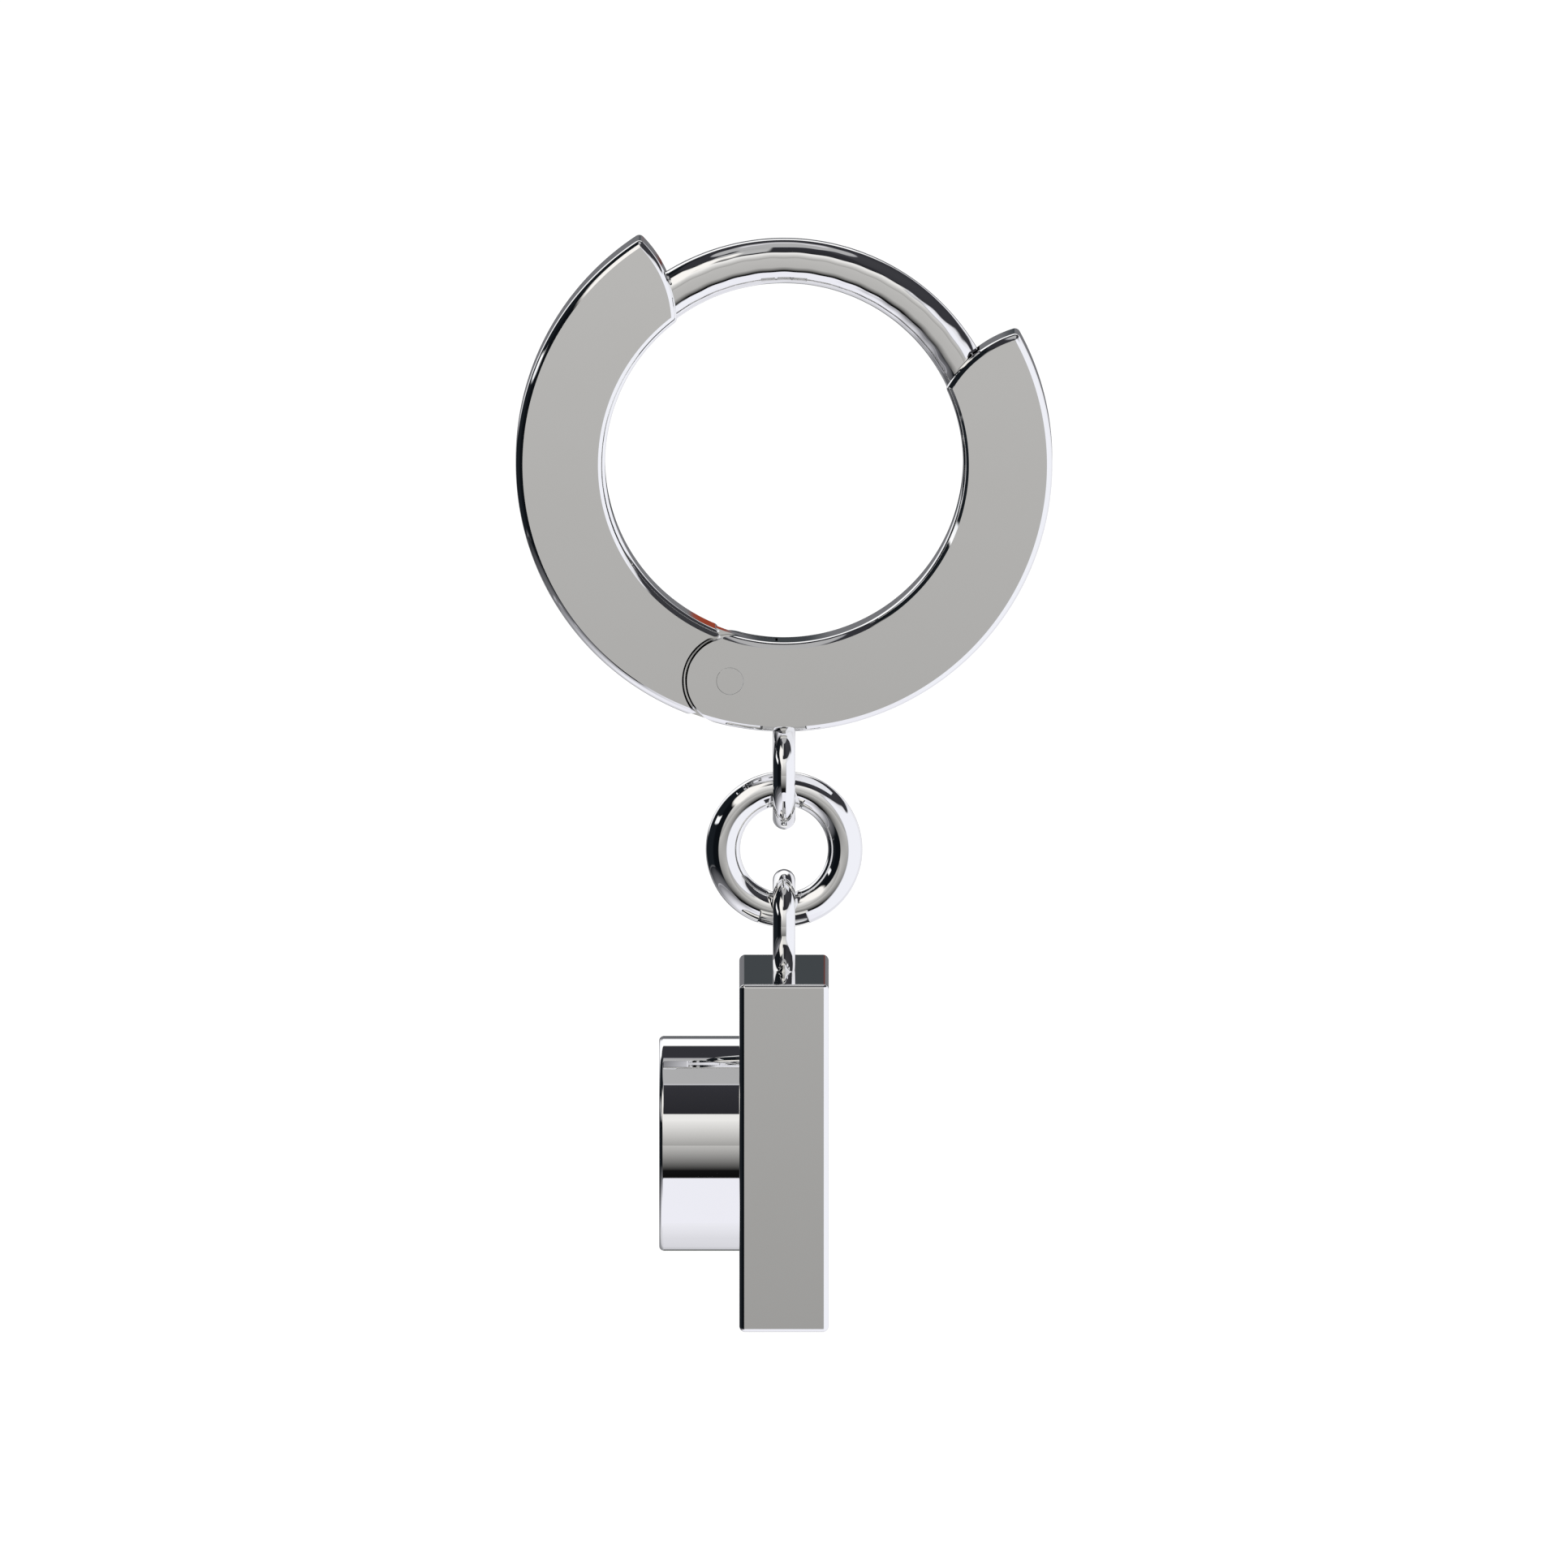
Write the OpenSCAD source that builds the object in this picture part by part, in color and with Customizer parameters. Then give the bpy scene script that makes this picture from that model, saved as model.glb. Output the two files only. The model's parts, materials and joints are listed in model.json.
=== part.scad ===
// Hinged huggie earring with a square plaque hanging from it.
// The hoop stands in the XZ plane, X to the right, Y along the hoop's axis and Z up.
// The origin is the middle of the ear post at its highest point, where the ear lobe holds it.

/* [Hoop] */
// Outside diameter of the hoop
hoop_od = 12; // [11.6:0.1:12.6]
// Inside diameter of the hoop, round the lobe
hoop_id = 8; // [7.8:0.1:8.4]
// Width of the hoop along its axis
hoop_w = 1.8; // [1.7:0.05:2.2]
// Rounding along the edges of the hoop's two flat faces
hoop_edge = 0.13; // [0.08:0.01:0.16]
// Direction of the hinge seen from the hoop's centre, counterclockwise from +X
hinge_dir = 256; // [252:1:258]
// Angle that each half covers on the outside, from the hinge to the corner of its end
half_outer = 133.5; // [130:0.5:136]
// Angle that each half covers on the inside, from the hinge to the corner of its end
half_inner = 129.2; // [126:0.2:132]
// Radius of the bulge of each half's end face
end_bulge_r = 2.6; // [2.2:0.1:3]

/* [Ear post and catch] */
// Thickness of the post that goes through the lobe, both ways
post_side = 1; // [0.9:0.05:1.05]
// Rounding of the post's four edges, which leaves a narrow flat on each side
post_round = 0.4; // [0.3:0.02:0.42]
// How far the post's inner side stands back from the inside of the hoop
post_inset = 0.01; // [0.01:0.01:0.05]
// Depth of the groove that catches the post's tip
catch_depth = 0.98; // [0.8:0.02:1.2]
// Room round the post in the groove, on each side and beyond its tip
catch_gap = 0.05; // [0.03:0.01:0.1]

/* [Hinge] */
// Diameter of the hinge pin
pin_d = 0.6; // [0.5:0.05:0.7]
// Room round the pin in the cheeks that hold it
pin_seat_gap = 0.01; // [0.01:0.01:0.02]
// Room round the pin in the tongue that turns on it
pin_run_gap = 0.03; // [0.02:0.01:0.05]
// Thickness of the front half's tongue
tongue_w = 0.6; // [0.5:0.05:0.7]
// How far the tongue's square end reaches past the pin
tongue_reach = 0.78; // [0.6:0.02:0.85]
// Room between the tongue and the slot in the back half
slot_gap = 0.05; // [0.03:0.01:0.08]
// Room between the back half's round nose and the front half's hollow seat
nose_gap = 0.07; // [0.05:0.01:0.09]
// Angle between the hinge and the ends of the front half's faces, where the seat's two lips are cut off
lip_angle = 7.4; // [6.6:0.2:8.2]

/* [Rings] */
// Outside diameter of the two soldered eyelets
eyelet_od = 2.5; // [2.4:0.05:2.8]
// Wire diameter of the two eyelets
eyelet_wire = 0.5; // [0.45:0.05:0.55]
// How far an eyelet's wire sinks into the metal that carries it
eyelet_sink = 0.25; // [0.15:0.05:0.3]
// Outside diameter of the jump ring
jump_od = 3.5; // [3.3:0.1:4]
// Wire diameter of the jump ring
jump_wire = 0.77; // [0.6:0.01:0.8]
// Gap between two rings where one hangs on the other
link_gap = 0.03; // [0.02:0.01:0.05]

/* [Plaque] */
// Side of the square plaque
plaque_side = 7.8; // [6:0.1:9]
// Thickness of the plaque
plaque_t = 2; // [1.5:0.1:2.5]
// Rounding of the plaque's edges
plaque_edge = 0.12; // [0.08:0.01:0.2]
// Diameter of the round boss on the plaque's front
boss_d = 4.8; // [4:0.1:5.5]
// Height of the boss above the plaque
boss_h = 1.79; // [1.2:0.01:2]
// Rounding of the boss's rim
boss_edge = 0.1; // [0.06:0.01:0.2]

/* [Hidden] */
$fn = 128;

silver = [0.78, 0.78, 0.77];
pin_silver = [0.7, 0.7, 0.69];
// Solids that are cut or cut away run this far past the metal
past = 0.5;

hoop_r = hoop_od / 2;
bore_r = hoop_id / 2;
wall = hoop_r - bore_r;
mid_r = (hoop_r + bore_r) / 2;

// The chord of a half's end face, in a frame where the hinge lies along +X, and the centre of its bulge
end_out = hoop_r * [cos(half_outer), sin(half_outer)];
end_in = bore_r * [cos(half_inner), sin(half_inner)];
end_chord = end_out - end_in;
end_normal = [-end_chord.y, end_chord.x] / norm(end_chord);
end_centre = (end_out + end_in) / 2 - end_normal * sqrt(pow(end_bulge_r, 2) - pow(norm(end_chord) / 2, 2));
// The straight-sided part of a half stops this many degrees short of its end, inside the bulge
end_blend = 8;

post_r = bore_r + post_inset + post_side / 2;
hoop_z = -post_r;
// Directions of the groove's far end, of the post's tip and of the post's root inside the front half
catch_dir = hinge_dir + half_inner - 360 - catch_depth / post_r * 180 / PI;
tip_dir = catch_dir + catch_gap / post_r * 180 / PI;
root_dir = hinge_dir - half_inner + end_blend;

pin_at = mid_r * [cos(hinge_dir), sin(hinge_dir)];
// The nose stays this much inside the hoop's walls, so that its round never runs along them
nose_inset = 0.01;
nose_r = wall / 2 - nose_inset;
seat_r = wall / 2 + nose_gap;
tongue_r = wall / 2 - nose_gap;
slot_w = tongue_w + 2 * slot_gap;
slot_r = seat_r + slot_gap;

eyelet_mean = (eyelet_od - eyelet_wire) / 2;
eyelet_bore = eyelet_od / 2 - eyelet_wire;
jump_mean = (jump_od - jump_wire) / 2;
jump_bore = jump_od / 2 - jump_wire;
upper_eyelet_z = hoop_z - hoop_r - eyelet_od / 2 + eyelet_sink;
jump_z = upper_eyelet_z - eyelet_bore - jump_bore + link_gap;
lower_eyelet_z = jump_z - jump_bore - eyelet_bore + link_gap;
plaque_z = lower_eyelet_z - eyelet_od / 2 + eyelet_sink - plaque_side / 2;

// Turns a shape drawn in the XY plane upright, onto the hoop's centre
module on_hoop() {
    translate([0, 0, hoop_z])
        rotate([90, 0, 0])
            children();
}

// Puts a shape on the hinge pin, with its x towards the back half and its y towards the hoop's centre
module at_pin() {
    translate([pin_at.x, pin_at.y, 0])
        rotate(hinge_dir - 270)
            children();
}

// A rectangle with rounded corners, from the origin
module rounded_rectangle(w, h, r) {
    translate([r, 0])
        square([w - 2 * r, h]);
    translate([0, r])
        square([w, h - 2 * r]);
    for (x = [r, w - r], y = [r, h - r])
        translate([x, y])
            circle(r);
}

// A rectangle from the axis out to r, with its two outer corners rounded
module disc_profile(r, h, edge) {
    square([r - edge, h]);
    translate([0, edge])
        square([r, h - 2 * edge]);
    for (y = [edge, h - edge])
        translate([r - edge, y])
            circle(edge);
}

module rounded_disc(r, h, edge) {
    translate([0, 0, -h / 2])
        rotate_extrude()
            disc_profile(r, h, edge);
}

// A round wire ring lying in the XY plane
module wire_ring(mean_r, wire_d) {
    rotate_extrude()
        translate([mean_r, 0])
            circle(d = wire_d);
}

// The sector from one direction to another, past the hoop's outside
module sector_outline(from, to) {
    reach = hoop_r + 3 * past;
    polygon(concat([[0, 0]], [for (i = [0:3]) reach * [
        cos(from + (to - from) * i / 3),
        sin(from + (to - from) * i / 3)
    ]]));
}

module sector(from, to) {
    linear_extrude(hoop_w + 2 * past, center = true)
        sector_outline(from, to);
}

module hoop_blank() {
    translate([0, 0, -hoop_w / 2])
        rotate_extrude()
            translate([bore_r, 0])
                rounded_rectangle(wall, hoop_w, hoop_edge);
}

// What one half keeps of the hoop, in a frame where the hinge lies along +X: its sector and its bulging end
module half_region() {
    sector(0, half_inner - end_blend);
    translate([end_centre.x, end_centre.y, 0])
        rounded_disc(end_bulge_r, hoop_w, hoop_edge);
}

// The tongue's outline round the pin: a round end with a square corner flush with the hoop's inside
module tongue_outline() {
    circle(tongue_r);
    translate([-nose_r, 0])
        square([nose_r + tongue_reach, nose_r + past]);
}

// The slot's outline round the pin
module slot_outline() {
    circle(slot_r);
    translate([-slot_r, 0])
        square([slot_r + tongue_reach + slot_gap, nose_r + 2 * past]);
}

// The room for the two cheeks of the back half's nose, one on each side of the tongue
module cheek_room() {
    for (side = [0, 1])
        mirror([0, 0, side])
            translate([0, 0, tongue_w / 2])
                linear_extrude(hoop_w) {
                    at_pin()
                        circle(seat_r);
                    sector_outline(hinge_dir - lip_angle, hinge_dir + lip_angle);
                }
}

// The rounded bar through the lobe, from its root inside the front half to its tip in the catch groove
module ear_post() {
    translate([0, 0, -post_side / 2])
        rotate(tip_dir)
            rotate_extrude(angle = root_dir - tip_dir)
                translate([post_r - post_side / 2, 0])
                    rounded_rectangle(post_side, post_side, post_round);
}

// Front half of the hoop, with the ear post soldered into its end and a tongue for the hinge
module front_half() {
    color(silver)
        on_hoop() {
            difference() {
                intersection() {
                    hoop_blank();
                    union() {
                        rotate(hinge_dir)
                            mirror([0, 1, 0])
                                half_region();
                        at_pin()
                            linear_extrude(tongue_w, center = true)
                                tongue_outline();
                    }
                }
                cheek_room();
                at_pin()
                    cylinder(h = hoop_w, r = pin_d / 2 + pin_run_gap, center = true);
            }
            ear_post();
        }
}

// Back half of the hoop, with a round slotted nose for the hinge, a catch groove and a soldered eyelet
module back_half() {
    color(silver) {
        on_hoop()
            difference() {
                intersection() {
                    hoop_blank();
                    union() {
                        rotate(hinge_dir)
                            half_region();
                        at_pin()
                            rounded_disc(nose_r, hoop_w, hoop_edge);
                    }
                }
                at_pin() {
                    linear_extrude(slot_w, center = true)
                        slot_outline();
                    cylinder(h = hoop_w + past, r = pin_d / 2 + pin_seat_gap, center = true);
                }
                intersection() {
                    cylinder(
                        h = post_side + 2 * catch_gap,
                        r = post_r + post_side / 2 + catch_gap,
                        center = true
                    );
                    sector(catch_dir, half_outer + hinge_dir - 360 + end_blend);
                }
            }
        translate([0, 0, upper_eyelet_z])
            rotate([0, 90, 0])
                wire_ring(eyelet_mean, eyelet_wire);
    }
}

// The hinge pin, flush with both faces of the hoop
module hinge_pin() {
    color(pin_silver)
        on_hoop()
            at_pin()
                cylinder(h = hoop_w, d = pin_d, center = true);
}

// The closed ring that joins the two eyelets
module jump_ring() {
    color(silver)
        translate([0, 0, jump_z])
            rotate([90, 0, 0])
                wire_ring(jump_mean, jump_wire);
}

// A rectangular bar through the plaque along one axis, with rounded edges
module plaque_bar(w, h, length) {
    linear_extrude(length, center = true)
        translate([-w / 2, -h / 2])
            rounded_rectangle(w, h, plaque_edge);
}

// The square plaque seen edge on, with the round boss on its front and its eyelet soldered on top
module plaque() {
    long = plaque_side + 2 * past;
    color(silver) {
        translate([0, 0, plaque_z]) {
            intersection() {
                plaque_bar(plaque_t, plaque_side, long);
                rotate([90, 0, 0])
                    plaque_bar(plaque_t, plaque_side, long);
                rotate([0, 90, 0])
                    plaque_bar(plaque_side, plaque_side, long);
            }
            rotate([0, -90, 0])
                rotate_extrude()
                    disc_profile(boss_d / 2, plaque_t / 2 + boss_h, boss_edge);
        }
        translate([0, 0, lower_eyelet_z])
            rotate([0, 90, 0])
                wire_ring(eyelet_mean, eyelet_wire);
    }
}

front_half();
back_half();
hinge_pin();
jump_ring();
plaque();
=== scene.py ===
"""A hinged huggie earring with a square plaque hanging from it, dressed in polished silver.

Each sub-assembly is a class that makes its meshes and dresses them. Sizes are in millimetres, and the last
step on every piece turns it into metres. The hoop stands in the XZ plane, Y runs along its axis away from the
camera, and Z is up.
"""

import json
import logging
from dataclasses import dataclass, field, replace
from enum import Enum
from functools import partial, reduce
from math import asin, atan2, ceil, cos, pi, radians, sin, sqrt
from typing import Iterable, Sequence

import bmesh
import bpy
from mathutils import Matrix, Vector


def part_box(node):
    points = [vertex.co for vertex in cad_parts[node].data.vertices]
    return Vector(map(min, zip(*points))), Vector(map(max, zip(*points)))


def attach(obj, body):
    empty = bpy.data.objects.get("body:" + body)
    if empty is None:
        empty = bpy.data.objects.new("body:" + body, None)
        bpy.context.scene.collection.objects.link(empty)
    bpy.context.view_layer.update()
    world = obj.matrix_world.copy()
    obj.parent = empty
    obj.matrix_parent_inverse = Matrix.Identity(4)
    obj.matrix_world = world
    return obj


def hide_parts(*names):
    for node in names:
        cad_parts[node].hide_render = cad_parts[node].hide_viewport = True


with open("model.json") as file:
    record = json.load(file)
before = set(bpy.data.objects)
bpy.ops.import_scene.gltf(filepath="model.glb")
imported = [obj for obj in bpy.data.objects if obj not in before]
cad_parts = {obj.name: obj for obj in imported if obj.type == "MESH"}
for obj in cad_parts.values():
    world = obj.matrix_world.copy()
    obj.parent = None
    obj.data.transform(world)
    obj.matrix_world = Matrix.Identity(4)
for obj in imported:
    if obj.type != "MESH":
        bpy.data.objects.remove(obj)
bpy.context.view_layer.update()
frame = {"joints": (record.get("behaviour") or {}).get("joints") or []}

LOG = logging.getLogger("earring")

# Metres in a millimetre
METRES = 0.001
# Angle between two faces above which the edge between them stays sharp
SHARP_ANGLE = radians(12)
# Distances below which points are merged, on a new solid and after a cut
MERGE_DISTANCE = 0.0004
CUT_MERGE_DISTANCE = 0.0001
# A full turn, just short of the whole, which would count as none
FULL_TURN = 2 * pi - 1e-9
# Values of the cloud noise at which the haze starts and is full
HAZE_RANGE = (0.42, 0.72)
# Directions of the two sets of hairlines and their shares
HAIRLINE_SETS = ((radians(28), 0.6), (radians(-41), 0.4))

Point = tuple[float, float]
Colour = tuple[float, float, float]
Socket = bpy.types.NodeSocket
Value = float | tuple[float, ...] | Socket
Inputs = dict[str | int, Value]


class Body(Enum):
    """The moving bodies of the earring."""

    FRONT = "front"
    BACK = "back"
    RING = "ring"
    DROP = "drop"


class Slot(Enum):
    """The record's material slots."""

    POLISHED = "polished_silver"
    PIN = "pin_silver"


class RingPlane(Enum):
    """The plane that a wire ring lies in, as the turn that takes it there from the XY plane."""

    ALONG_HOOP = (pi / 2, 0.0, 0.0)
    ACROSS_HOOP = (0.0, pi / 2, 0.0)


class HingeEnd(Enum):
    """How a half of the hoop ends at the hinge."""

    NOSE = "round nose"
    SEAT = "hollow seat"


def linear(channel: float) -> float:
    """Turns one 0 to 255 display value into linear light, by the sRGB curve."""
    share = channel / 255
    return share / 12.92 if share <= 0.04045 else ((share + 0.055) / 1.055) ** 2.4


def box_mm(node: str) -> tuple[Vector, Vector]:
    """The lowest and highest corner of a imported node, in millimetres."""
    low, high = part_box(node)
    return low / METRES, high / METRES


def joint_mm(name: str) -> Vector:
    """The point that a joint turns about, in millimetres."""
    found = next(joint for joint in frame["joints"] if joint["name"] == name)
    return Vector(found["pos_m"]) / METRES


class Graph:
    """Adds nodes to a node tree and wires them."""

    def __init__(self, tree: bpy.types.NodeTree) -> None:
        """Starts on a tree, which keeps the nodes that it has."""
        self.tree = tree

    def node(self, kind: str, inputs: Inputs | None = None, **settings: object) -> bpy.types.Node:
        """Adds a node.

        Args:
            kind: The node's type name.
            inputs: Values, or sockets to link, by the input's name or number.
            settings: Properties of the node.

        Returns:
            The new node.
        """
        made = self.tree.nodes.new(kind)
        for name, value in settings.items():
            setattr(made, name, value)
        for key, value in (inputs or {}).items():
            if isinstance(value, Socket):
                self.tree.links.new(value, made.inputs[key])
            else:
                made.inputs[key].default_value = value
        return made

    def group(self, tree: bpy.types.NodeTree, inputs: Inputs, label: str = "") -> bpy.types.NodeOutputs:
        """Places a shader group under a label and returns its outputs."""
        return self.node("ShaderNodeGroup", inputs, node_tree=tree, label=label).outputs

    def math(self, operation: str, *values: Value) -> Socket:
        """Adds a Math node and returns its output."""
        return self.node("ShaderNodeMath", dict(enumerate(values)), operation=operation).outputs[0]

    def vector(self, operation: str, *values: Value) -> Socket:
        """Adds a Vector Math node and returns its vector."""
        return self.node("ShaderNodeVectorMath", dict(enumerate(values)), operation=operation).outputs[0]

    def scaled(self, vector: Socket, scale: Value) -> Socket:
        """Scales a vector and returns the result."""
        inputs = {"Vector": vector, "Scale": scale}
        return self.node("ShaderNodeVectorMath", inputs, operation="SCALE").outputs[0]

    def length(self, vector: Socket) -> Socket:
        """Measures a vector and returns its length."""
        return self.node("ShaderNodeVectorMath", {0: vector}, operation="LENGTH").outputs["Value"]

    def ramp(self, value: Value, start: Value, end: Value, rising: bool = True) -> Socket:
        """Adds a smooth ramp.

        Args:
            value: The value that it follows.
            start: Where it starts.
            end: Where it ends.
            rising: True from 0 to 1, False from 1 to 0.

        Returns:
            Its output.
        """
        low, high = (0.0, 1.0) if rising else (1.0, 0.0)
        inputs = {"Value": value, "From Min": start, "From Max": end, "To Min": low, "To Max": high}
        made = self.node("ShaderNodeMapRange", inputs, interpolation_type="SMOOTHSTEP")
        return made.outputs["Result"]

    def fade(self, value: Value, edge: Value, half: Value, rising: bool) -> Socket:
        """Fades over an edge.

        Args:
            value: The value that it follows.
            edge: The middle of the edge.
            half: Half the width over which it fades.
            rising: True where the share grows with the value.

        Returns:
            The share.
        """
        start = self.math("SUBTRACT", edge, half)
        end = self.math("ADD", edge, half)
        return self.ramp(value, start, end, rising)

    def mix(self, factor: Value, first: Value, second: Value) -> Socket:
        """Mixes two colours and returns the output."""
        inputs = {0: factor, 6: first, 7: second}
        return self.node("ShaderNodeMix", inputs, data_type="RGBA").outputs[2]


def new_group(kind: str, name: str, inputs: dict[str, str], outputs: dict[str, str]) -> bpy.types.NodeTree:
    """Makes an empty node group with its sockets.

    Args:
        kind: The tree's type name.
        name: The group's name.
        inputs: Socket types by input name.
        outputs: Socket types by output name.

    Returns:
        The new tree.
    """
    tree = bpy.data.node_groups.new(name, kind)
    for side, sockets in (("INPUT", inputs), ("OUTPUT", outputs)):
        for label, socket_type in sockets.items():
            tree.interface.new_socket(name=label, in_out=side, socket_type=socket_type)
    return tree


def polish_marks_group() -> bpy.types.NodeTree:
    """Builds the shader group for what polishing leaves on silver: hairlines, faint haze and some toning.

    Returns:
        The group, which puts out a colour, a roughness and a height.
    """
    number, vector, colour = "NodeSocketFloat", "NodeSocketVector", "NodeSocketColor"
    inputs = {
        "Vector": vector, "Silver": colour, "Toned Silver": colour, "Toning": number, "Smooth": number,
        "Haze": number, "Haze Size": number, "Hairline Size": number, "Hairline Stretch": number,
    }
    outputs = {"Colour": colour, "Roughness": number, "Height": number}
    graph = Graph(new_group("ShaderNodeTree", "polish_marks", inputs, outputs))
    given = graph.node("NodeGroupInput").outputs
    place = graph.scaled(given["Vector"], 1 / METRES)

    haze_scale = graph.math("DIVIDE", 1.0, given["Haze Size"])
    cloud_inputs = {"Vector": place, "Scale": haze_scale, "Detail": 3.0, "Roughness": 0.55}
    cloud = graph.node("ShaderNodeTexNoise", cloud_inputs).outputs["Fac"]
    haze = graph.ramp(cloud, *HAZE_RANGE)

    hairline_scale = graph.math("DIVIDE", 1.0, given["Hairline Size"])
    along = graph.math("DIVIDE", 1.0, given["Hairline Stretch"])
    stretch = graph.node("ShaderNodeCombineXYZ", {"X": along, "Y": 1.0, "Z": 1.0}).outputs[0]
    heights = []
    for turn, share in HAIRLINE_SETS:
        turn_inputs = {"Vector": place, "Angle": turn}
        turned_place = graph.node("ShaderNodeVectorRotate", turn_inputs, rotation_type="Y_AXIS").outputs[0]
        drawn = graph.vector("MULTIPLY", turned_place, stretch)
        line_inputs = {"Vector": drawn, "Scale": hairline_scale, "Detail": 2.0}
        lines = graph.node("ShaderNodeTexNoise", line_inputs).outputs["Fac"]
        heights.append(graph.math("MULTIPLY", lines, share))
    height = graph.math("ADD", *heights)

    spread = graph.math("MULTIPLY", haze, given["Haze"])
    roughness = graph.math("ADD", given["Smooth"], spread)
    tone = graph.math("MULTIPLY", haze, given["Toning"])
    shade = graph.mix(tone, given["Silver"], given["Toned Silver"])
    graph.node("NodeGroupOutput", {"Colour": shade, "Roughness": roughness, "Height": height})
    return graph.tree


def painted_seam_shade_group() -> bpy.types.NodeTree:
    """Builds the shader group for a band round an axis along Y, such as the painted shade along a round seam.

    Returns:
        The group, which puts out the band's share at a point.
    """
    number, vector = "NodeSocketFloat", "NodeSocketVector"
    inputs = {"Vector": vector, "Axis": vector, "Inner": number, "Outer": number, "Feather": number}
    # Painted shade: this band marks where the silver is darkened along a seam, standing in for the shade in
    # its gap.
    graph = Graph(new_group("ShaderNodeTree", "painted_seam_shade", inputs, {"Share": number}))
    given = graph.node("NodeGroupInput").outputs
    away = graph.vector("SUBTRACT", given["Vector"], given["Axis"])
    distance = graph.length(graph.vector("MULTIPLY", away, (1.0, 0.0, 1.0)))
    before = graph.math("SUBTRACT", given["Inner"], given["Feather"])
    past = graph.math("ADD", given["Outer"], given["Feather"])
    entered = graph.ramp(distance, before, given["Inner"])
    left = graph.ramp(distance, given["Outer"], past, rising=False)
    graph.node("NodeGroupOutput", {"Share": graph.math("MULTIPLY", entered, left)})
    return graph.tree


def soft_card_group() -> bpy.types.NodeTree:
    """Builds the shader group for one soft-edged card of the studio, laid over what is below it.

    Returns:
        The group, which puts out the colour seen in a direction.
    """
    number, colour = "NodeSocketFloat", "NodeSocketColor"
    inputs = {"Azimuth": number, "Elevation": number, "Below": colour}
    inputs |= {label: number for label in StudioCard.PLACE}
    inputs |= {"Low Colour": colour, "High Colour": colour}
    graph = Graph(new_group("ShaderNodeTree", "soft_card", inputs, {"Colour": colour}))
    given = graph.node("NodeGroupInput").outputs

    offset = graph.math("SUBTRACT", given["Azimuth"], given["Centre"])
    wrapped = graph.math("WRAP", offset, 180.0, -180.0)
    aside = graph.math("ABSOLUTE", wrapped)
    half_side = graph.math("MULTIPLY", given["Side Softness"], 0.5)
    half_edge = graph.math("MULTIPLY", given["Edge Softness"], 0.5)
    low = graph.math("ADD", given["Low"], graph.math("MULTIPLY", wrapped, given["Lean"]))
    share = graph.fade(aside, given["Half Width"], half_side, rising=False)
    above = graph.fade(given["Elevation"], low, half_edge, rising=True)
    below = graph.fade(given["Elevation"], given["High"], half_edge, rising=False)
    share = graph.math("MULTIPLY", graph.math("MULTIPLY", share, above), below)
    climb_inputs = {"Value": given["Elevation"], "From Min": given["Low"], "From Max": given["High"]}
    climb = graph.node("ShaderNodeMapRange", climb_inputs).outputs["Result"]
    face = graph.mix(climb, given["Low Colour"], given["High Colour"])
    graph.node("NodeGroupOutput", {"Colour": graph.mix(share, given["Below"], face)})
    return graph.tree


@dataclass(frozen=True)
class Band:
    """A band round an axis along Y, in millimetres.

    Attributes:
        axis: A point of the axis.
        inner: Its inner radius, below 0 for a whole disc.
        outer: Its outer radius.
        feather: Width over which it fades on either side.
    """

    axis: tuple[float, float, float]
    inner: float
    outer: float
    feather: float

    def share(self, graph: Graph, place: Socket) -> Socket:
        """Adds the nodes that tell how much of the band lies at a place.

        Args:
            graph: The material's graph.
            place: The place, in metres.

        Returns:
            The band's share.
        """
        tree = bpy.data.node_groups.get("painted_seam_shade") or painted_seam_shade_group()
        sizes = {"Inner": self.inner, "Outer": self.outer, "Feather": self.feather}
        inputs = {label: size * METRES for label, size in sizes.items()}
        axis = tuple(part * METRES for part in self.axis)
        return graph.group(tree, {"Vector": place, "Axis": axis, **inputs})["Share"]


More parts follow.
